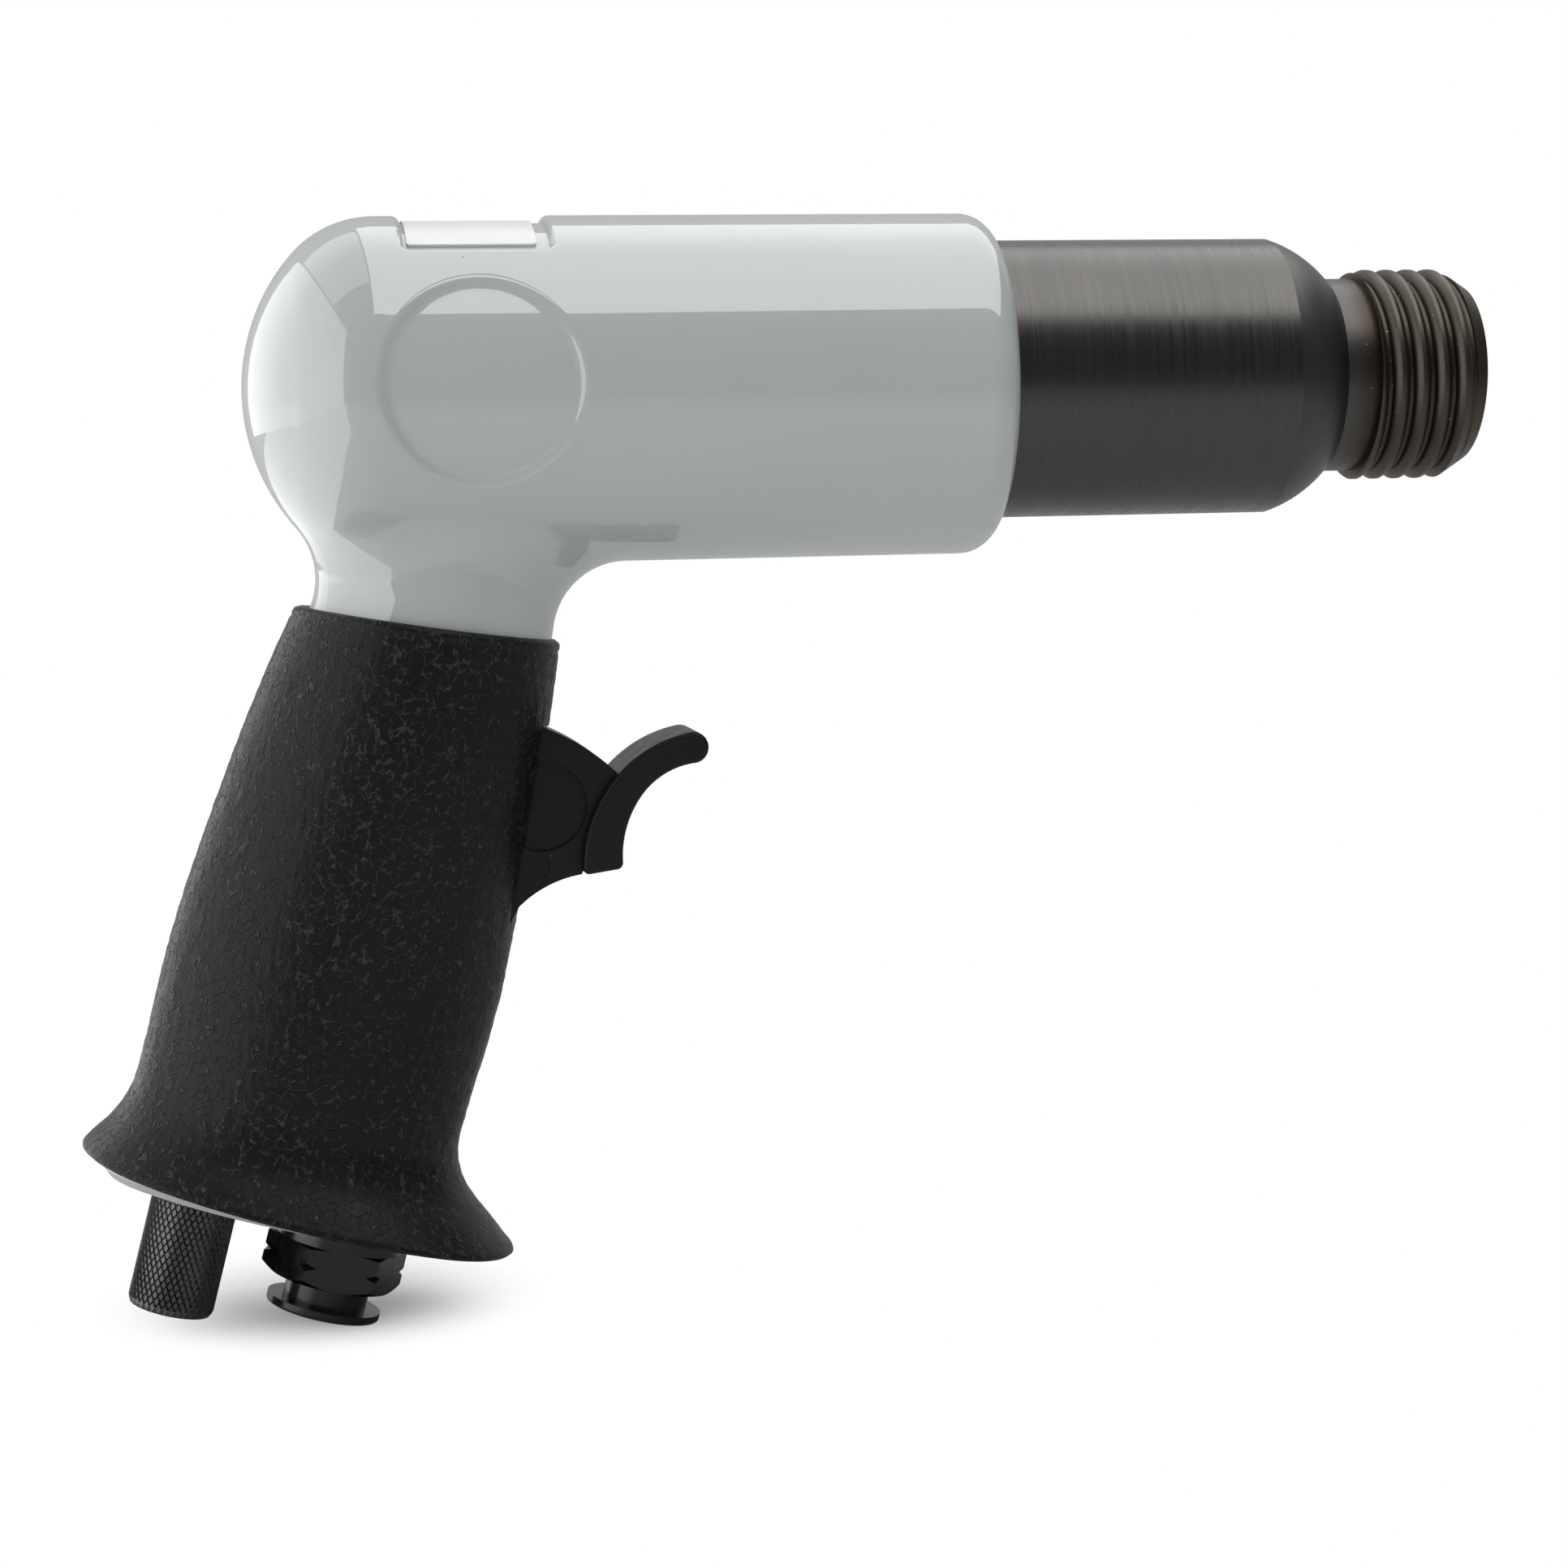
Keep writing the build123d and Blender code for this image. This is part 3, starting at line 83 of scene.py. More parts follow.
# Core inside the sleeve, at the first five of these places, and the flange below it
CORE_DEPTHS = (30.2, 36.1, 39.6, 41.8, 41.1)
CORE_WIDTHS = (27.8, 30.4, 31.4, 31.7, 31.2)
CORE_AHEADS = (0.95, -0.55, -1.1, -1.5, -2.0)
CORE_END_R = 12.0
FLANGE_DEPTH = 50.2
FLANGE_WIDTH = 31.8
FLANGE_AHEAD = -0.6
FLANGE_TOP = 108.9
# Edges of the sleeve: their places on the handle's axis, and their slopes in degrees
SLEEVE_TOP = 32.3
SLEEVE_TOP_SLOPE = -5.7
SLEEVE_BASE = 111.45
SLEEVE_BASE_SLOPE = 1.8
# Mesh of the sleeve, with closer rows at each rim
SLEEVE_AROUND = 400
SLEEVE_ROWS = 226
SLEEVE_INNER_ROWS = 24
RIM_ROWS = 10
RIM_BAND = 1.6
SLEEVE_SMOOTH = 50
# Rounded lip and its groove at the top, rolled hem at the base
LIP = 0.7
LIP_GROOVE_DROP = 1.45
LIP_GROOVE_HALF = 0.35
LIP_GROOVE_DEPTH = 0.16
HEM = 0.5
HEM_FADE = 3 * HEM
# Moulded wrinkles: two layers of ridges along the level lines of a bent noise, with gaps from another noise
WRINKLE_SEED = 1      # without it, the bend would differ from run to run
WRINKLE_DEPTH = 0.09
WRINKLE_SIZE = 1.1
WRINKLE_WIDTH = 0.22
WRINKLE_LAYERS = (0.0, 31.7)
WRINKLE_BEND = 0.35
WRINKLE_BEND_PITCH = 0.7
WRINKLE_GAP_PITCH = 0.8
WRINKLE_GAP_SHIFT = Vector((5.3, 1.1, 9.2))
WRINKLE_GAP_EDGE = 3
WRINKLE_KEPT = 0.5
# Slot for the trigger's web: half width, and its corners ahead of the axis and below the barrel
SLOT_HALF = 5.4
SLOT_FRONT = (27.0, 41.9, 55.1)
SLOT_BACK = (15.0, 41.9, 75.5)

# Round side panels of the head, in millimetres, and the soft slope round each
HEAD_R = 22.9
HEAD_DROP = 0.6
DOME_X = -149.5
DOME_R = 14.5
PANEL_X = -137.3
PANEL_DEPTH = 0.65
BEVEL_OUT = 13.62
BEVEL_IN = 11.6
BEVEL_SKIN = 0.012    # above the solid, so that the slope shows and not the step under it
BEVEL_THICK = 0.3
BEVEL_AROUND = 180
BEVEL_ROWS = 25
BEVEL_FACE = 0.8      # share of the rows on the outside
BEVEL_MERGE = 0.002

# Regulator knob
KNOB_TOP = 113.4 * MM
KNOB_LEN = 16.0 * MM
KNOB_R = 5.75 * MM
KNURLS = 40
KNURL_ROWS = 10
KNURL_LAND = 0.13 * MM
KNURL_DEPTH = 0.2 * MM
KNOB_EDGE = 0.7 * MM
KNOB_SMOOTH = 20

# Barrel: where its finishes change along its axis and out from it
SHOULDER_START = (-28.6 * MM, -28.2 * MM)
NOSE_START = (-19.0 * MM, -17.0 * MM)
THREAD_CREST = (13.5 * MM, 14.3 * MM)

# Colours of the finishes, a dark and a light one where a surface is uneven
PAINT_GREYS = ((0.345, 0.372, 0.37), (0.36, 0.388, 0.386))
PAINT_DUST = (0.13, 0.12, 0.105)
BARREL_GREYS = ((0.094, 0.092, 0.089), (0.107, 0.104, 0.1))
BARREL_STREAK = (0.118, 0.112, 0.105)
NOSE_BRONZES = ((0.068, 0.056, 0.044), (0.086, 0.071, 0.055))
NOSE_CREST = (0.095, 0.084, 0.071)
NOSE_GRAIN = (0.42, 0.38, 0.32)
RUBBER_BLACKS = ((0.0055, 0.0055, 0.0056), (0.007, 0.007, 0.007))
# Lighter colour on the rubber's ridges: a painted highlight, standing in for the light that they catch
PAINTED_RIDGE_HIGHLIGHT = (0.027, 0.027, 0.027)
RUBBER_LINT = (0.15, 0.15, 0.15)
PLASTIC_LINT = (0.1, 0.1, 0.1)
STEEL_GRAIN = (0.3, 0.3, 0.3)
BLACK_STEELS = ((0.045, 0.045, 0.046), (0.07, 0.07, 0.071))
KNOB_STEELS = ((0.11, 0.11, 0.111), (0.15, 0.15, 0.151))
HARD_STEELS = ((0.5, 0.5, 0.5), (0.6, 0.6, 0.6))
BRASSES = ((0.62, 0.44, 0.2), (0.74, 0.55, 0.27))
LABEL_WHITES = ((0.64, 0.64, 0.635), (0.68, 0.68, 0.675))

# Stage, with lengths in metres: the floor turns plain between two distances from the middle of the shadow
FLOOR_SIZE = 4.0
FLOOR_MIDDLE = (cad_box[0].x + 0.032, 0.014, cad_box[0].z)
FLOOR_NEAR = 0.008
FLOOR_FAR = 0.032
FLOOR_BEHIND = (0.0, 0.15)
FLOOR_PALE = (0.8, 0.8, 0.8)
FLOOR_IN_GLOSS = (0.45, 0.45, 0.45)
SHADOW_LIFT = 0.15    # share of plain white in the shadow that the camera sees
# Card on the floor and the dim studio, with their brightness, where 1 is white
CARD = (
    (-0.75, -0.8), (-0.497, -0.452), (-0.301, -0.223), (-0.273, -0.14), (-0.24, -0.051),
    (-0.224, 0.016), (-0.218, 0.053), (-0.21, 0.5), (-0.75, 0.5),
)
CARD_LIFT = 0.0005
CARD_LIGHT = 1.6
STUDIO_LIGHT = 0.12
STUDIO_BEHIND = (0.2, 0.6)
IN_GLOSS = 0.5        # brightness of the white backdrop as the object's gloss shows it


# Modelling


def handle_point(ahead, across, drop):
    """Point of the handle, from millimetres ahead of its axis, across it and below the barrel's axis."""
    return HANDLE_ORIGIN + AHEAD * (ahead * MM) + Vector((0, across * MM, 0)) - UPWARD * (drop * MM)


def clamp(value):
    """The value, held between 0 and 1."""
    return min(max(value, 0.0), 1.0)


def ease(share):
    """Smooth step from 0 to 1."""
    return share * share * (3 - 2 * share)


def clear_selection():
    """Leaves edit mode and deselects everything."""
    if bpy.context.object and bpy.context.object.mode != "OBJECT":
        bpy.ops.object.mode_set(mode="OBJECT")
    bpy.ops.object.select_all(action="DESELECT")


def make_active(piece):
    """Selects one object alone and makes it the active one."""
    clear_selection()
    piece.select_set(True)
    bpy.context.view_layer.objects.active = piece


def named(name):
    """Names the active object and its mesh."""
    piece = bpy.context.object
    piece.name = name
    piece.data.name = name
    return piece


def select_faces(piece, wanted):
    """Selects, in edit mode, the faces that the test picks."""
    bpy.ops.object.mode_set(mode="EDIT")
    bpy.ops.mesh.select_mode(type="FACE")
    bpy.ops.mesh.select_all(action="DESELECT")
    bpy.ops.object.mode_set(mode="OBJECT")
    for face in piece.data.polygons:
        face.select = wanted(face)
    bpy.ops.object.mode_set(mode="EDIT")


def select_edges(piece, wanted):
    """Selects, in edit mode, the edges whose two ends pass the test."""
    bpy.ops.object.mode_set(mode="EDIT")
    bpy.ops.mesh.select_mode(type="EDGE")
    bpy.ops.mesh.select_all(action="DESELECT")
    bpy.ops.object.mode_set(mode="OBJECT")
    for edge in piece.data.edges:
        edge.select = wanted(*(piece.data.vertices[index].co for index in edge.vertices))
    bpy.ops.object.mode_set(mode="EDIT")


def tube_wall(name, around, rows, place):
    """Open tube with its points set by angle and by share of the way down."""
    clear_selection()
    bpy.ops.mesh.primitive_cylinder_add(vertices=around, radius=1, depth=2, end_fill_type="NOTHING")
    wall = named(name)
    select_edges(wall, lambda one, two: abs(one.z - two.z) > 1)
    bpy.ops.mesh.subdivide(number_cuts=rows - 1)
    bpy.ops.object.mode_set(mode="OBJECT")
    for vertex in wall.data.vertices:
        angle = atan2(vertex.co.y, vertex.co.x)
        vertex.co = place(angle, clamp((1 - vertex.co.z) / 2))
    return wall


def finish_piece(piece, body, material, angle=35):
    """Smooth shading, material and body of a new piece."""
    make_active(piece)
    bpy.ops.object.shade_smooth_by_angle(angle=radians(angle))
    piece.data.materials.clear()
    piece.data.materials.append(material)
    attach(piece, body)


# Shader nodes


def add_node(tree, kind, inputs=None, **settings):
    """Adds a node with its settings and its inputs, each a value or the socket that feeds it."""
    node = tree.nodes.new(kind)
    for key, value in settings.items():
        setattr(node, key, value)
    for key, value in (inputs or {}).items():
        if isinstance(value, bpy.types.NodeSocket):
            tree.links.new(value, node.inputs[key])
        else:
            node.inputs[key].default_value = value
    return node


def maths(tree, operation, first, second):
    """Math node on sockets or numbers."""
    return add_node(tree, "ShaderNodeMath", {0: first, 1: second}, operation=operation).outputs["Value"]


def vector_maths(tree, operation, *inputs):
    """Vector Math node on sockets or vectors."""
    node = add_node(tree, "ShaderNodeVectorMath", dict(enumerate(inputs)), operation=operation)
    return node.outputs["Vector"]


def ramp(tree, value, low=0.0, high=1.0, to_low=0.0, to_high=1.0, smooth=False):
    """Carries a value from one span over to another, and holds it at both ends."""
    inputs = {"Value": value, "From Min": low, "From Max": high, "To Min": to_low, "To Max": to_high}
    kind = "SMOOTHSTEP" if smooth else "LINEAR"
    return add_node(tree, "ShaderNodeMapRange", inputs, interpolation_type=kind).outputs["Result"]


# Places of a Mix node's colour sockets
MIX_FIRST = 6
MIX_SECOND = 7
MIX_RESULT = 2


def mix_colour(tree, factor, first, second):
    """Mixes two colours, each a socket or a written colour, by a mask."""
    inputs = {"Factor": factor}
    for place, colour in ((MIX_FIRST, first), (MIX_SECOND, second)):
        inputs[place] = colour + (1,) if isinstance(colour, tuple) else colour
    return add_node(tree, "ShaderNodeMix", inputs, data_type="RGBA").outputs[MIX_RESULT]


def object_vector(tree, scale=(1, 1, 1)):
    """Object coordinates, stretched."""
    coordinates = add_node(tree, "ShaderNodeTexCoord").outputs["Object"]
    return add_node(tree, "ShaderNodeMapping", {"Vector": coordinates, "Scale": scale}).outputs["Vector"]


def axial_step(tree, vector, low, high):
    """0 below one place along X and 1 above another."""
    parts = add_node(tree, "ShaderNodeSeparateXYZ", {"Vector": vector})
    return ramp(tree, parts.outputs["X"], low, high)


def radial_step(tree, vector, low, high):
    """0 nearer to the barrel's axis than one distance and 1 further out than another."""
    across = vector_maths(tree, "MULTIPLY", vector, (0, 1, 1))
    distance = add_node(tree, "ShaderNodeVectorMath", {0: across}, operation="LENGTH")
    return ramp(tree, distance.outputs["Value"], low, high)


def start_group(name, inputs, output):
    """Shader node group with a vector input (None), float inputs and one float output."""
    group = bpy.data.node_groups.new(name, "ShaderNodeTree")
    for socket, default in inputs.items():
        kind = "NodeSocketVector" if default is None else "NodeSocketFloat"
        made = group.interface.new_socket(socket, in_out="INPUT", socket_type=kind)
        if default is not None:
            made.default_value = default
    group.interface.new_socket(output, in_out="OUTPUT", socket_type="NodeSocketFloat")
    start = group.nodes.new("NodeGroupInput")
    end = group.nodes.new("NodeGroupOutput")
    return group, start.outputs, end.inputs[output]


def make_mottle():
    """Slow uneven change over a surface, from Low to High."""
    inputs = {"Vector": None, "Scale": 40.0, "Detail": 4.0, "Low": 0.0, "High": 1.0}
    group, given, value = start_group("mottle", inputs, "Value")
    cloud = add_node(group, "ShaderNodeTexNoise", {"Roughness": 0.6})
    for socket in ("Vector", "Scale", "Detail"):
        group.links.new(given[socket], cloud.inputs[socket])
    spread = ramp(group, cloud.outputs["Fac"], low=0.3, high=0.7, to_low=given["Low"], to_high=given["High"])
    group.links.new(spread, value)
    return group


def make_specks():
    """Sparse round specks: dust, pinholes or bright grains."""
    inputs = {"Vector": None, "Scale": 500.0, "Share": 0.1, "Size": 0.2}
    group, given, mask = start_group("specks", inputs, "Mask")
    cells = add_node(group, "ShaderNodeTexVoronoi", {"Vector": given["Vector"], "Scale": given["Scale"]})
    random = add_node(group, "ShaderNodeSeparateColor", {"Color": cells.outputs["Color"]})
    chosen = maths(group, "LESS_THAN", random.outputs["Red"], given["Share"])
    near = maths(group, "LESS_THAN", cells.outputs["Distance"], given["Size"])
    group.links.new(maths(group, "MULTIPLY", chosen, near), mask)
    return group


def make_worms():
    """Short squirming ridges, as moulded into rubber: the walls of wobbly cells, broken by a noise."""
    wobble_middle = (0.5, 0.5, 0.5)
    wobble_reach = (1.5, 1.5, 1.5)
    gap_pitch = 1.6
    gap_fade = 0.1
    inputs = {"Vector": None, "Scale": 700.0, "Width": 0.1, "Break": 0.5}
    group, given, height = start_group("worms", inputs, "Height")
    sized = add_node(
        group, "ShaderNodeVectorMath", {0: given["Vector"], "Scale": given["Scale"]}, operation="SCALE"
    )
    place = sized.outputs["Vector"]
    wobble = add_node(group, "ShaderNodeTexNoise", {"Vector": place, "Scale": 1.0, "Detail": 1.0})
    aside = vector_maths(group, "SUBTRACT", wobble.outputs["Color"], wobble_middle)
    moved = vector_maths(group, "MULTIPLY_ADD", aside, wobble_reach, place)
    walls = add_node(
        group, "ShaderNodeTexVoronoi", {"Vector": moved, "Scale": 1.0}, feature="DISTANCE_TO_EDGE"
    )
    ridge = ramp(group, walls.outputs["Distance"], high=given["Width"], to_low=1.0, to_high=0.0, smooth=True)
    gaps = add_node(group, "ShaderNodeTexNoise", {"Vector": place, "Scale": gap_pitch, "Detail": 0.0})
    whole = maths(group, "ADD", given["Break"], gap_fade)
    kept = ramp(group, gaps.outputs["Fac"], given["Break"], whole, smooth=True)
    group.links.new(maths(group, "MULTIPLY", ridge, kept), height)
    return group


MOTTLE = make_mottle()
SPECKS = make_specks()
WORMS = make_worms()


def use_group(tree, group, vector, **inputs):
    """Places a node group fed by a vector."""
    return add_node(tree, "ShaderNodeGroup", {"Vector": vector, **inputs}, node_tree=group).outputs[0]


# Materials


def start_material(name, **shader):
    """Material with a Principled shader whose constant inputs are set, and its tree."""
    material = bpy.data.materials.new(name)
    material.use_nodes = True
    tree = material.node_tree
    principled = tree.nodes["Principled BSDF"]
    for key, value in shader.items():
        principled.inputs[key.replace("_", " ").title().replace("Ior", "IOR")].default_value = value
    return material, tree, principled


def finish_material(tree, principled, colour, roughness, height, depth):
    """Links a material's colour, its roughness and its bump, of a real depth in metres."""
    bump = add_node(tree, "ShaderNodeBump", {"Height": height, "Distance": depth, "Strength": 1.0})
    tree.links.new(colour, principled.inputs["Base Color"])
    tree.links.new(roughness, principled.inputs["Roughness"])
    tree.links.new(bump.outputs["Normal"], principled.inputs["Normal"])


def paint_material():
    """Gloss light grey paint on a casting, with faint orange peel and a few dust pinholes."""
    material, tree, principled = start_material(
        "grey_gloss_paint", specular_ior_level=0.2, coat_weight=1.0, coat_roughness=0.03, coat_ior=1.8
    )
    vector = object_vector(tree)
    colour = mix_colour(tree, use_group(tree, MOTTLE, vector, Scale=30.0), *PAINT_GREYS)
    dust = use_group(tree, SPECKS, vector, Scale=230.0, Share=0.05, Size=0.035)
    colour = mix_colour(tree, dust, colour, PAINT_DUST)
    roughness = use_group(tree, MOTTLE, vector, Scale=300.0, Low=0.3, High=0.4)
    peel = use_group(tree, MOTTLE, vector, Scale=260.0, Detail=1.0)
    finish_material(tree, principled, colour, roughness, peel, 0.003 * MM)
    return material


def blued_material():
    """Blued steel barrel: turning marks round it, a brown bloom, a matt shoulder and a bronzed thread."""
    streak_weight = 0.6
    shoulder_roughness = 0.4
    material, tree, principled = start_material("blued_barrel_steel", metallic=1.0)
    vector = object_vector(tree)
    bloom = use_group(tree, MOTTLE, vector, Scale=55.0)
    colour = mix_colour(tree, bloom, *BARREL_GREYS)
    streak = use_group(tree, MOTTLE, object_vector(tree, (1500, 25, 25)), Scale=1.0, Detail=3.0)
    colour = mix_colour(tree, maths(tree, "MULTIPLY", streak, streak_weight), colour, BARREL_STREAK)
    nose = axial_step(tree, vector, *NOSE_START)
    crest = radial_step(tree, vector, *THREAD_CREST)
    bronzed = mix_colour(tree, crest, mix_colour(tree, bloom, *NOSE_BRONZES), NOSE_CREST)
    colour = mix_colour(tree, nose, colour, bronzed)
    grains = use_group(tree, SPECKS, vector, Scale=2300.0, Share=0.035, Size=0.26)
    grains = maths(tree, "MULTIPLY", grains, maths(tree, "SUBTRACT", nose, crest))
    colour = mix_colour(tree, grains, colour, NOSE_GRAIN)
    polish = use_group(tree, MOTTLE, object_vector(tree, (2600, 30, 30)), Scale=1.0, Low=0.24, High=0.36)
    matt = maths(tree, "MULTIPLY", axial_step(tree, vector, *SHOULDER_START), shoulder_roughness)
    roughness = maths(tree, "MAXIMUM", polish, matt)
    turning = use_group(tree, MOTTLE, object_vector(tree, (9000, 40, 40)), Scale=1.0, Detail=2.0)
    finish_material(tree, principled, colour, roughness, turning, 0.004 * MM)
    return material


def rubber_material():
    """Black moulded rubber with a skin of short worm-like ridges, each coloured lighter as a painted highlight."""
    ridge_polish = 0.08
    grain_height = 0.03
    material, tree, principled = start_material("grip_black_rubber", specular_ior_level=0.2)
    vector = object_vector(tree)
    worms = use_group(tree, WORMS, vector, Scale=640.0, Width=0.09, Break=0.38)
    colour = mix_colour(tree, use_group(tree, MOTTLE, vector, Scale=60.0), *RUBBER_BLACKS)
    # Painted highlight: the ridges are coloured lighter, as if each caught the light
    colour = mix_colour(tree, worms, colour, PAINTED_RIDGE_HIGHLIGHT)
    lint = use_group(tree, SPECKS, vector, Scale=300.0, Share=0.02, Size=0.035)
    colour = mix_colour(tree, lint, colour, RUBBER_LINT)
    roughness = use_group(tree, MOTTLE, vector, Scale=250.0, Low=0.32, High=0.4)
    roughness = maths(tree, "SUBTRACT", roughness, maths(tree, "MULTIPLY", worms, ridge_polish))
    grain = use_group(tree, MOTTLE, vector, Scale=2600.0, Detail=2.0)
    height = maths(tree, "ADD", worms, maths(tree, "MULTIPLY", grain, grain_height))
    finish_material(tree, principled, colour, roughness, height, 0.18 * MM)
    return material


def moulded_material(name, shade, low, high, grain_depth, specular=0.5):
    """Black moulded plastic with a fine spark-eroded grain and a roughness between low and high."""
    dark = (shade, shade, shade * 1.04)
    light = (shade * 1.35, shade * 1.35, shade * 1.38)
    material, tree, principled = start_material(name, specular_ior_level=specular)
    vector = object_vector(tree)
    colour = mix_colour(tree, use_group(tree, MOTTLE, vector, Scale=90.0), dark, light)
    lint = use_group(tree, SPECKS, vector, Scale=700.0, Share=0.02, Size=0.1)
    colour = mix_colour(tree, lint, colour, PLASTIC_LINT)
    roughness = use_group(tree, MOTTLE, vector, Scale=500.0, Low=low, High=high)
    grain = use_group(tree, MOTTLE, vector, Scale=2200.0, Detail=3.0)
    finish_material(tree, principled, colour, roughness, grain, grain_depth)
    return material


def steel_material(name, colours, low, high, scratch=(400, 400, 400)):
    """Metal with uneven tone, fine scratches, a few bright grains and a roughness between low and high."""
    material, tree, principled = start_material(name, metallic=1.0)
    vector = object_vector(tree)
    colour = mix_colour(tree, use_group(tree, MOTTLE, vector, Scale=120.0), *colours)
    grains = use_group(tree, SPECKS, vector, Scale=1100.0, Share=0.015, Size=0.12)
    colour = mix_colour(tree, grains, colour, STEEL_GRAIN)
    marks = object_vector(tree, scratch)
    roughness = use_group(tree, MOTTLE, marks, Scale=1.0, Low=low, High=high)
    scratches = use_group(tree, MOTTLE, marks, Scale=4.0)
    finish_material(tree, principled, colour, roughness, scratches, 0.006 * MM)
    return material


def label_material():
    """Blank white film label with a faint satin grain."""
    material, tree, principled = start_material("label_white_film", coat_weight=0.3, coat_roughness=0.2)
    vector = object_vector(tree)
    colour = mix_colour(tree, use_group(tree, MOTTLE, vector, Scale=150.0), *LABEL_WHITES)
    roughness = use_group(tree, MOTTLE, vector, Scale=700.0, Low=0.35, High=0.45)
    grain = use_group(tree, MOTTLE, vector, Scale=900.0)
    finish_material(tree, principled, colour, roughness, grain, 0.003 * MM)
    return material


PAINT = paint_material()
RUBBER = rubber_material()
KNOB_STEEL = steel_material("knurled_black_steel", KNOB_STEELS, low=0.24, high=0.4)
SLOT_MATERIALS = {
    "housing_paint": PAINT,
    "grip_rubber": RUBBER,
    "label_blank": label_material(),
    "blued_steel": blued_material(),
    "hard_steel": steel_material(
        "hard_ground_steel", HARD_STEELS, low=0.18, high=0.32, scratch=(2500, 60, 60)
    ),
    "seal_rubber": moulded_material(
        "seal_black_rubber", shade=0.014, low=0.5, high=0.62, grain_depth=0.01 * MM
    ),
    "trigger_plastic": moulded_material(
        "trigger_black_plastic", shade=0.006, low=0.3, high=0.42, grain_depth=0.006 * MM, specular=0.25
    ),
    "brass": steel_material("turned_brass", BRASSES, low=0.22, high=0.36, scratch=(900, 90, 90)),
    "black_steel": steel_material("black_oxide_steel", BLACK_STEELS, low=0.18, high=0.32),
    "plug_plastic": moulded_material(
        "plug_black_plastic", shade=0.008, low=0.16, high=0.26, grain_depth=0.003 * MM
    ),
}


def dress_cad_nodes():
    """Gives every carried-over solid the material of its slot."""
    for subpart in frame["record"]["subparts"]:
        node = frame["nodes"][subpart["node"]]
        material = SLOT_MATERIALS[subpart["material_slot"]]
        for slot in node.material_slots:
            slot.material = material


# Rubber sleeve


def smooth_between(places, values, place):
    """Value on a smooth curve through the values at their places."""
    last = len(values) - 2
    step = max(k for k in range(last + 1) if k == 0 or places[k] <= place)

    def slope(k):
        low, high = max(k - 1, 0), min(k + 1, last + 1)
        return (values[high] - values[low]) / (places[high] - places[low])

    width = places[step + 1] - places[step]
    u = (place - places[step]) / width
    return (
        values[step] * (1 + 2 * u) * (1 - u) ** 2
        + slope(step) * width * u * (1 - u) ** 2
        + values[step + 1] * u * u * (3 - 2 * u)
        + slope(step + 1) * width * u * u * (u - 1)
    )


def oval_radius(angle, depth, width, end_r):
    """Distance from the middle of an oval of four tangent arcs to its edge."""
    half, flank = depth / 2, width / 2
    reach = half - end_r
    flank_r = (reach**2 + flank**2 - end_r**2) / (2 * (flank - end_r))
    join_x = reach * (1 + end_r / (flank_r - end_r))
    join_y = end_r * (flank_r - flank) / (flank_r - end_r)
    x, y = abs(cos(angle)), abs(sin(angle))
    if y * join_x <= x * join_y:
        return reach * x + sqrt(end_r**2 - (reach * y) ** 2)
    sunk = flank_r - flank
    return -sunk * y + sqrt(flank_r**2 - (sunk * x) ** 2)


def sleeve_radius(angle, drop):
    """Centre ahead of the axis, and radius, of the sleeve's outside at an angle and a place."""
    tables = (SLEEVE_DEPTHS, SLEEVE_WIDTHS, SLEEVE_END_R, SLEEVE_AHEADS)
    depth, width, end_r, ahead = (smooth_between(SLEEVE_DROPS, values, drop) for values in tables)
    return ahead, oval_radius(angle, depth, width, end_r)


def sleeve_edges(angle):
    """Places along the handle of the sleeve's sloping top and bottom edges, at an angle round it."""
    edges = []
    for drop, slope in ((SLEEVE_TOP, SLEEVE_TOP_SLOPE), (SLEEVE_BASE, SLEEVE_BASE_SLOPE)):
        ahead, radius = sleeve_radius(angle, drop)
        edges.append(drop + tan(radians(slope)) * (ahead + radius * cos(angle)))
    return edges


def sleeve_drop(share, top, base):
    """Place of a row, with the rows closer together at both rims."""
    row = share * SLEEVE_ROWS
    if row < RIM_ROWS:
        return top + RIM_BAND * row / RIM_ROWS
    if row > SLEEVE_ROWS - RIM_ROWS:
        return base - RIM_BAND * (SLEEVE_ROWS - row) / RIM_ROWS
    between = (row - RIM_ROWS) / (SLEEVE_ROWS - 2 * RIM_ROWS)
    return top + RIM_BAND + (base - top - 2 * RIM_BAND) * between


def wrinkle(point):
    """Height of the moulded wrinkles, from 0 to 1, at a point of the sleeve in millimetres."""
    height = 0
    for shift in WRINKLE_LAYERS:
        place = Vector((point[0] + shift, point[1], point[2])) / WRINKLE_SIZE
        bend = noise.noise_vector(place * WRINKLE_BEND_PITCH) * WRINKLE_BEND
        line = abs(noise.noise(place + bend))
        gap = noise.noise(place * WRINKLE_GAP_PITCH + WRINKLE_GAP_SHIFT)
        kept = clamp(WRINKLE_KEPT + WRINKLE_GAP_EDGE * gap)
        height = max(height, max(0.0, 1 - line / WRINKLE_WIDTH) * kept)
    return ease(height)


def hem_radius(angle, base, above):
    """Radius of the rolled hem, tangent to the flare and to the base, or None where it has ended."""
    tip = sleeve_radius(angle, base)[1]
    flare = atan(tip - sleeve_radius(angle, base - 1)[1])
    back = HEM / tan((pi / 2 - flare) / 2)
    if above > back * cos(flare):
        return None
    return tip - back + sqrt(max(HEM**2 - (HEM - above) ** 2, 0.0))


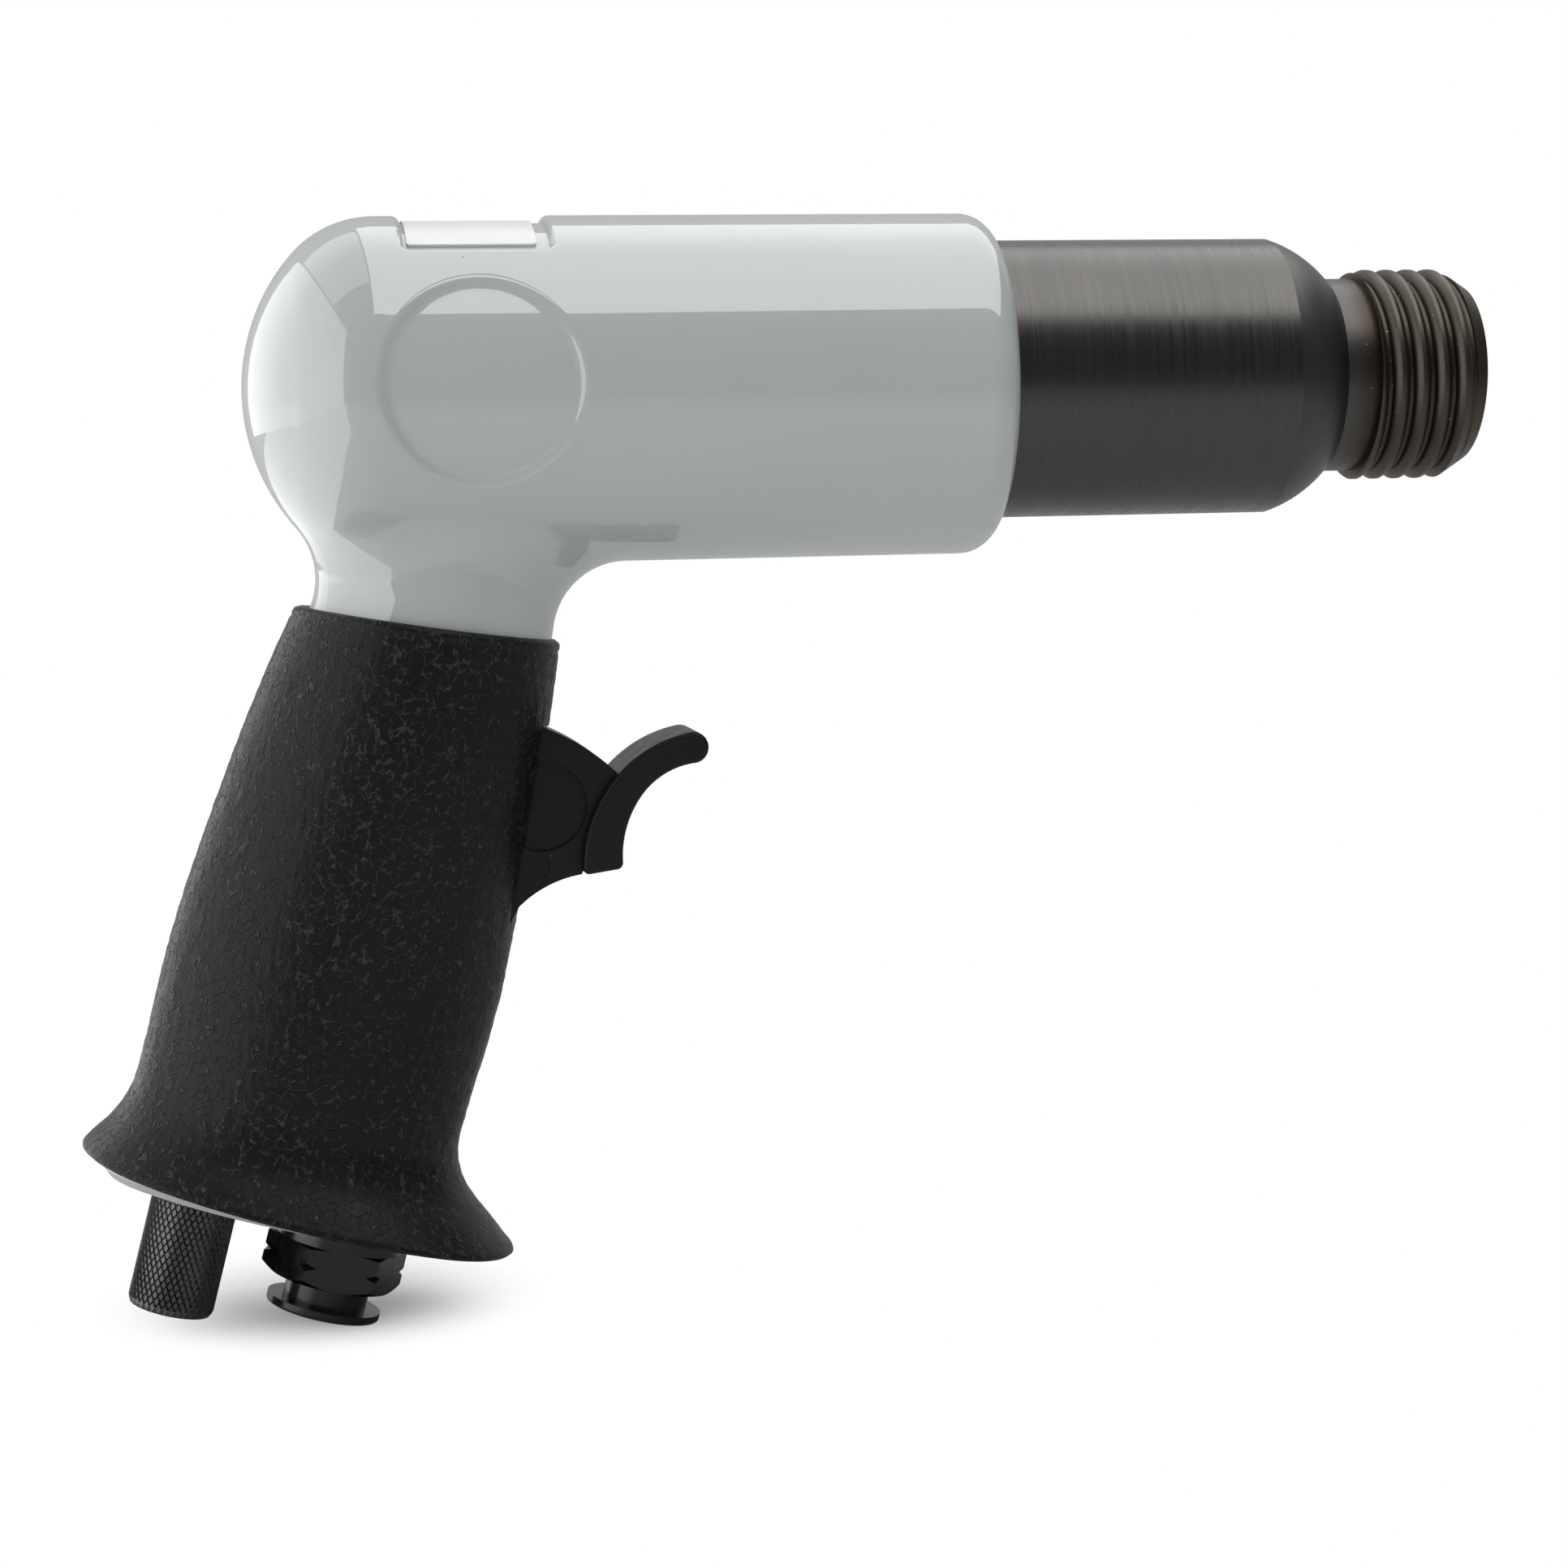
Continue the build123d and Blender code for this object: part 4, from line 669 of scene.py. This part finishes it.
def outer_wall(angle, share):
    """Point of the sleeve's outside."""
    top, base = sleeve_edges(angle)
    drop = sleeve_drop(share, top, base)
    ahead, radius = sleeve_radius(angle, drop)
    below_top = drop - top
    above_base = max(base - drop, 0.0)
    if below_top < LIP:
        radius -= LIP - sqrt(LIP**2 - (LIP - below_top) ** 2)
    groove = max(0.0, 1 - abs(below_top - LIP_GROOVE_DROP) / LIP_GROOVE_HALF)
    point = (ahead + radius * cos(angle), radius * sin(angle), drop)
    fade = clamp((below_top - LIP_GROOVE_DROP) / LIP) * clamp(above_base / HEM_FADE)
    radius = hem_radius(angle, base, above_base) or radius
    radius -= LIP_GROOVE_DEPTH * groove + WRINKLE_DEPTH * (1 - wrinkle(point)) * fade
    return handle_point(ahead + radius * cos(angle), radius * sin(angle), drop)


def inner_wall(angle, share):
    """Point of the sleeve's inside, which lies on the handle's core and clears its flange."""
    top, base = sleeve_edges(angle)
    drop = top + (base - top) * share
    if drop > FLANGE_TOP:
        ahead = FLANGE_AHEAD
        radius = oval_radius(angle, FLANGE_DEPTH, FLANGE_WIDTH, CORE_END_R)
    else:
        place = min(drop, SLEEVE_DROPS[len(CORE_DEPTHS) - 1])
        tables = (CORE_DEPTHS, CORE_WIDTHS, CORE_AHEADS)
        depth, width, ahead = (smooth_between(SLEEVE_DROPS, values, place) for values in tables)
        radius = oval_radius(angle, depth, width, CORE_END_R)
    return handle_point(ahead + radius * cos(angle), radius * sin(angle), drop)


def bridge_rims(sleeve):
    """Closes the gap between the outer and the inner wall, at the top and at the base."""
    bpy.ops.object.mode_set(mode="EDIT")
    bpy.ops.mesh.select_mode(type="EDGE")
    bpy.ops.mesh.select_all(action="DESELECT")
    bpy.ops.mesh.select_non_manifold(extend=False, use_wire=False, use_boundary=True, use_multi_face=False)
    bpy.ops.object.mode_set(mode="OBJECT")
    middle = (SLEEVE_TOP + SLEEVE_BASE) / 2 * MM
    drops = {}
    for edge in sleeve.data.edges:
        if edge.select:
            end = sleeve.data.vertices[edge.vertices[0]].co
            drops[edge.index] = (HANDLE_ORIGIN - end).dot(UPWARD)
    for upper in (True, False):
        bpy.ops.object.mode_set(mode="EDIT")
        bpy.ops.mesh.select_all(action="DESELECT")
        bpy.ops.object.mode_set(mode="OBJECT")
        for index, drop in drops.items():
            sleeve.data.edges[index].select = (drop < middle) == upper
        bpy.ops.object.mode_set(mode="EDIT")
        bpy.ops.mesh.bridge_edge_loops()
        bpy.ops.object.mode_set(mode="OBJECT")
    bpy.ops.object.mode_set(mode="EDIT")
    bpy.ops.mesh.select_all(action="SELECT")
    bpy.ops.mesh.normals_make_consistent(inside=False)
    bpy.ops.object.mode_set(mode="OBJECT")


def cut_slot(sleeve):
    """Opens the sleeve for the trigger's web with a block whose lower end slopes like the web."""
    clear_selection()
    bpy.ops.mesh.primitive_cube_add(size=2)
    cutter = named("slot_cutter")
    for vertex in cutter.data.vertices:
        ahead, top, bottom = SLOT_FRONT if vertex.co.x > 0 else SLOT_BACK
        drop = top if vertex.co.z > 0 else bottom
        vertex.co = handle_point(ahead, vertex.co.y * SLOT_HALF, drop)
    make_active(sleeve)
    cut = sleeve.modifiers.new("slot", "BOOLEAN")
    cut.operation = "DIFFERENCE"
    cut.object = cutter
    bpy.ops.object.modifier_apply(modifier=cut.name)
    bpy.data.objects.remove(cutter)


def make_sleeve():
    """Wrinkled rubber sleeve: outer and inner walls bridged at both rims, with a slot for the trigger."""
    noise.seed_set(WRINKLE_SEED)
    outer = tube_wall("grip_rubber_sleeve", SLEEVE_AROUND, SLEEVE_ROWS, outer_wall)
    inner = tube_wall("sleeve_inside", SLEEVE_AROUND, SLEEVE_INNER_ROWS, inner_wall)
    make_active(outer)
    inner.select_set(True)
    bpy.ops.object.join()
    bridge_rims(outer)
    cut_slot(outer)
    finish_piece(outer, "body", RUBBER, SLEEVE_SMOOTH)
    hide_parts("grip_sleeve")


# Side panels


def make_panel_bevel(name, side):
    """Soft slope from the head's outside down to the floor of one round side panel."""

    def place(angle, share):
        inward = share / BEVEL_FACE if share < BEVEL_FACE else (1 - share) / (1 - BEVEL_FACE)
        reach = BEVEL_OUT + (BEVEL_IN - BEVEL_OUT) * inward
        x, z = PANEL_X + reach * cos(angle), reach * sin(angle)
        past = max(DOME_X - x, 0.0)
        outside = HEAD_R - DOME_R + sqrt(DOME_R**2 - past**2)
        radius = outside + (HEAD_R - PANEL_DEPTH - outside) * ease(inward) + BEVEL_SKIN
        if share > BEVEL_FACE:
            radius -= BEVEL_THICK * sin(pi * inward)
        out = min(sqrt(radius**2 - (z + HEAD_DROP) ** 2), cad_box[1].y / MM)
        return Vector((x, side * out, z)) * MM

    bevel = tube_wall(name, BEVEL_AROUND, BEVEL_ROWS, place)
    bpy.ops.object.mode_set(mode="EDIT")
    bpy.ops.mesh.select_all(action="SELECT")
    bpy.ops.mesh.remove_doubles(threshold=BEVEL_MERGE * MM)
    bpy.ops.mesh.normals_make_consistent(inside=False)
    bpy.ops.object.mode_set(mode="OBJECT")
    finish_piece(bevel, "body", PAINT)


# Knurled knob


def make_knob():
    """Regulator knob with a diamond knurl all round: pits between two families of crossing ridges."""
    end = KNOB_LEN / 2
    half_row = KNOB_LEN / KNURL_ROWS / 2

    def upright_or_level(one, two):
        """Edges that would cut a diamond in two, but not those at the ends."""
        slanted = abs(abs(one.z - two.z) - half_row) <= half_row / 2
        return not slanted and abs(one.z + two.z) < 2 * end - half_row

    clear_selection()
    bpy.ops.mesh.primitive_cylinder_add(vertices=KNURLS, radius=KNOB_R, depth=KNOB_LEN)
    knob = named("knurled_knob")
    select_edges(knob, lambda one, two: abs(one.z - two.z) > end)
    bpy.ops.mesh.subdivide(number_cuts=KNURL_ROWS - 1)
    select_faces(knob, lambda face: len(face.vertices) == 4)
    bpy.ops.mesh.poke()
    bpy.ops.object.mode_set(mode="OBJECT")
    for vertex in knob.data.vertices:
        vertex.co.xy *= KNOB_R / vertex.co.xy.length
    select_edges(knob, upright_or_level)
    bpy.ops.mesh.dissolve_edges(use_verts=False)
    select_faces(knob, lambda face: len(face.vertices) == 4)
    bpy.ops.mesh.inset(thickness=KNURL_LAND, depth=-KNURL_DEPTH, use_individual=True)
    select_faces(knob, lambda face: len(face.vertices) > 4)
    bpy.ops.mesh.inset(thickness=KNOB_EDGE, depth=0)
    bpy.ops.mesh.select_all(action="SELECT")
    bpy.ops.mesh.normals_make_consistent(inside=False)
    bpy.ops.object.mode_set(mode="OBJECT")
    for vertex in knob.data.vertices:
        if abs(abs(vertex.co.z) - end) < KNURL_LAND and vertex.co.xy.length > KNOB_R - KNOB_EDGE / 2:
            vertex.co.xy *= 1 - KNOB_EDGE / 2 / KNOB_R
    turn = Matrix((AHEAD, (0, 1, 0), UPWARD)).transposed()
    middle = HANDLE_ORIGIN - AHEAD * KNOB_BEHIND - UPWARD * (KNOB_TOP + end)
    knob.data.transform(Matrix.Translation(middle) @ turn.to_4x4())
    finish_piece(knob, "regulator", KNOB_STEEL, KNOB_SMOOTH)
    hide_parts("regulator_knob")


# Stage, light and camera


def area_light(name, place, look_at, width, height, radiance, in_gloss=True):
    """Soft box that looks at a point, with its brightness as it would be seen."""
    lamp = bpy.data.lights.new(name, "AREA")
    lamp.shape = "RECTANGLE"
    lamp.size = width
    lamp.size_y = height
    lamp.energy = radiance * width * height * pi
    holder = bpy.data.objects.new(name, lamp)
    bpy.context.scene.collection.objects.link(holder)
    holder.location = place
    holder.rotation_euler = (Vector(look_at) - Vector(place)).to_track_quat("-Z", "Y").to_euler()
    holder.visible_camera = False
    holder.visible_glossy = in_gloss
    return lamp


def graded_light(name, place, look_at, width, height, low, high):
    """Soft box whose brightness changes from its lower or front edge to its upper or rear one."""
    lamp = area_light(name, place, look_at, width, height, 1.0)
    lamp.use_nodes = True
    tree = lamp.node_tree
    across = add_node(tree, "ShaderNodeNewGeometry").outputs["Parametric"]
    parts = add_node(tree, "ShaderNodeSeparateXYZ", {"Vector": across})
    grade = ramp(tree, parts.outputs["Y"], to_low=low, to_high=high)
    tree.links.new(grade, tree.nodes["Emission"].inputs["Strength"])


def mix_shader(tree, factor, first, second):
    """Mixes two shaders by a mask."""
    return add_node(tree, "ShaderNodeMixShader", {"Fac": factor, 1: first, 2: second}).outputs["Shader"]


def seen_behind(tree, path, place, near, far):
    """Where a reflected or refracted ray meets the studio behind the object, between two places along Y."""
    parts = add_node(tree, "ShaderNodeSeparateXYZ", {"Vector": place})
    behind = ramp(tree, parts.outputs["Y"], near, far, smooth=True)
    bent = maths(tree, "MAXIMUM", path["Is Glossy Ray"], path["Is Transmission Ray"])
    return maths(tree, "MULTIPLY", bent, behind)


def make_world():
    """Dim studio with a white backdrop: white to the camera, and behind the object also in its gloss."""
    world = bpy.data.worlds.new("studio")
    bpy.context.scene.world = world
    world.use_nodes = True
    tree = world.node_tree
    background = tree.nodes["Background"]
    background.inputs["Color"].default_value = (1, 1, 1, 1)
    path = add_node(tree, "ShaderNodeLightPath").outputs
    direction = add_node(tree, "ShaderNodeTexCoord").outputs["Generated"]
    behind = seen_behind(tree, path, direction, *STUDIO_BEHIND)
    level = ramp(tree, behind, to_low=STUDIO_LIGHT, to_high=IN_GLOSS)
    tree.links.new(maths(tree, "MAXIMUM", path["Is Camera Ray"], level), background.inputs["Strength"])


def make_floor():
    """Pale floor with the object's soft shadow; further out, the camera looks through it to the studio."""
    clear_selection()
    bpy.ops.mesh.primitive_plane_add(size=FLOOR_SIZE)
    floor = named("floor")
    floor.data.transform(Matrix.Translation((0, 0, cad_box[0].z)))
    material, tree, principled = start_material("floor_white", roughness=0.9, specular_ior_level=0.0)
    path = add_node(tree, "ShaderNodeLightPath").outputs
    place = add_node(tree, "ShaderNodeTexCoord").outputs["Object"]
    colour = mix_colour(tree, path["Is Glossy Ray"], FLOOR_PALE, FLOOR_IN_GLOSS)
    tree.links.new(colour, principled.inputs["Base Color"])
    behind = seen_behind(tree, path, place, *FLOOR_BEHIND)
    distance = add_node(tree, "ShaderNodeVectorMath", {0: place, 1: FLOOR_MIDDLE}, operation="DISTANCE")
    further = ramp(tree, distance.outputs["Value"], FLOOR_NEAR, FLOOR_FAR, SHADOW_LIFT, smooth=True)
    underside = add_node(tree, "ShaderNodeNewGeometry").outputs["Backfacing"]
    plain = maths(tree, "MAXIMUM", further, underside)
    plain = maths(tree, "MULTIPLY", maths(tree, "MAXIMUM", path["Is Camera Ray"], behind), plain)
    glow = add_node(tree, "ShaderNodeEmission", {"Strength": IN_GLOSS}).outputs["Emission"]
    clear = add_node(tree, "ShaderNodeBsdfTransparent").outputs["BSDF"]
    white = mix_shader(tree, path["Is Camera Ray"], glow, clear)
    surface = mix_shader(tree, plain, principled.outputs["BSDF"], white)
    tree.links.new(surface, tree.nodes["Material Output"].inputs["Surface"])
    floor.data.materials.append(material)


def make_card():
    """White card on the floor, left of the object, that the camera sees as plain floor."""
    clear_selection()
    bpy.ops.mesh.primitive_circle_add(vertices=len(CARD), fill_type="NGON")
    card = named("left_card")
    for vertex, (x, y) in zip(card.data.vertices, CARD):
        vertex.co = (x, y, cad_box[0].z + CARD_LIFT)
    material, tree, principled = start_material(
        "card_white", base_color=(0, 0, 0, 1), specular_ior_level=0.0, emission_color=(1, 1, 1, 1)
    )
    camera_ray = add_node(tree, "ShaderNodeLightPath").outputs["Is Camera Ray"]
    light = ramp(tree, camera_ray, to_low=CARD_LIGHT, to_high=1.0)
    tree.links.new(light, principled.inputs["Emission Strength"])
    card.data.materials.append(material)


def make_lamps():
    """Two graded soft boxes, one in the corner between them, and two fills that no gloss shows."""
    graded_light(
        "sky_box",
        place=(0.19, 0.045, 0.6),
        look_at=(0.19, 0.045, 0),
        width=0.82,
        height=1.11,
        low=2.5,
        high=1.55,
    )
    graded_light(
        "left_box",
        place=(-0.75, 0.19, 0.275),
        look_at=(0, 0.19, 0.275),
        width=1.82,
        height=0.8,
        low=1.7,
        high=1.3,
    )
    area_light(
        "corner_box",
        place=(-0.5, 0.25, 0.78),
        look_at=(-0.16, 0.25, 0),
        width=1.0,
        height=0.5,
        radiance=0.9,
    )
    area_light(
        "front_fill",
        place=(-0.1, -1.2, 0.12),
        look_at=(-0.1, 0, -0.05),
        width=2.0,
        height=1.4,
        radiance=0.47,
        in_gloss=False,
    )
    area_light(
        "low_fill",
        place=(-0.08, -0.45, cad_box[0].z + 0.01),
        look_at=(-0.08, 0, 0),
        width=0.9,
        height=0.4,
        radiance=0.8,
        in_gloss=False,
    )


def make_camera():
    """Camera at the photograph's angle."""
    azimuth, elevation, roll = radians(AZIMUTH), radians(ELEVATION), radians(ROLL)
    back = Vector((sin(azimuth) * cos(elevation), -cos(azimuth) * cos(elevation), sin(elevation)))
    right = Vector((0, 0, 1)).cross(back).normalized()
    up = back.cross(right)
    turned_right = right * cos(roll) + up * sin(roll)
    turned_up = up * cos(roll) - right * sin(roll)
    camera = bpy.data.cameras.new("camera")
    camera.sensor_width = SENSOR
    camera.lens = SENSOR * FOCAL_PIXELS / PHOTO_SIZE
    camera.clip_start = CLIP_START
    holder = bpy.data.objects.new("camera", camera)
    bpy.context.scene.collection.objects.link(holder)
    turn = Matrix((turned_right, turned_up, back)).transposed().to_4x4()
    holder.matrix_world = Matrix.Translation(LOOK_AT + back * DISTANCE) @ turn
    bpy.context.scene.camera = holder


dress_cad_nodes()
make_sleeve()
make_panel_bevel("panel_bevel_near", -1)
make_panel_bevel("panel_bevel_far", 1)
make_knob()
make_world()
make_floor()
make_card()
make_lamps()
make_camera()
bpy.context.scene.view_settings.view_transform = "Standard"
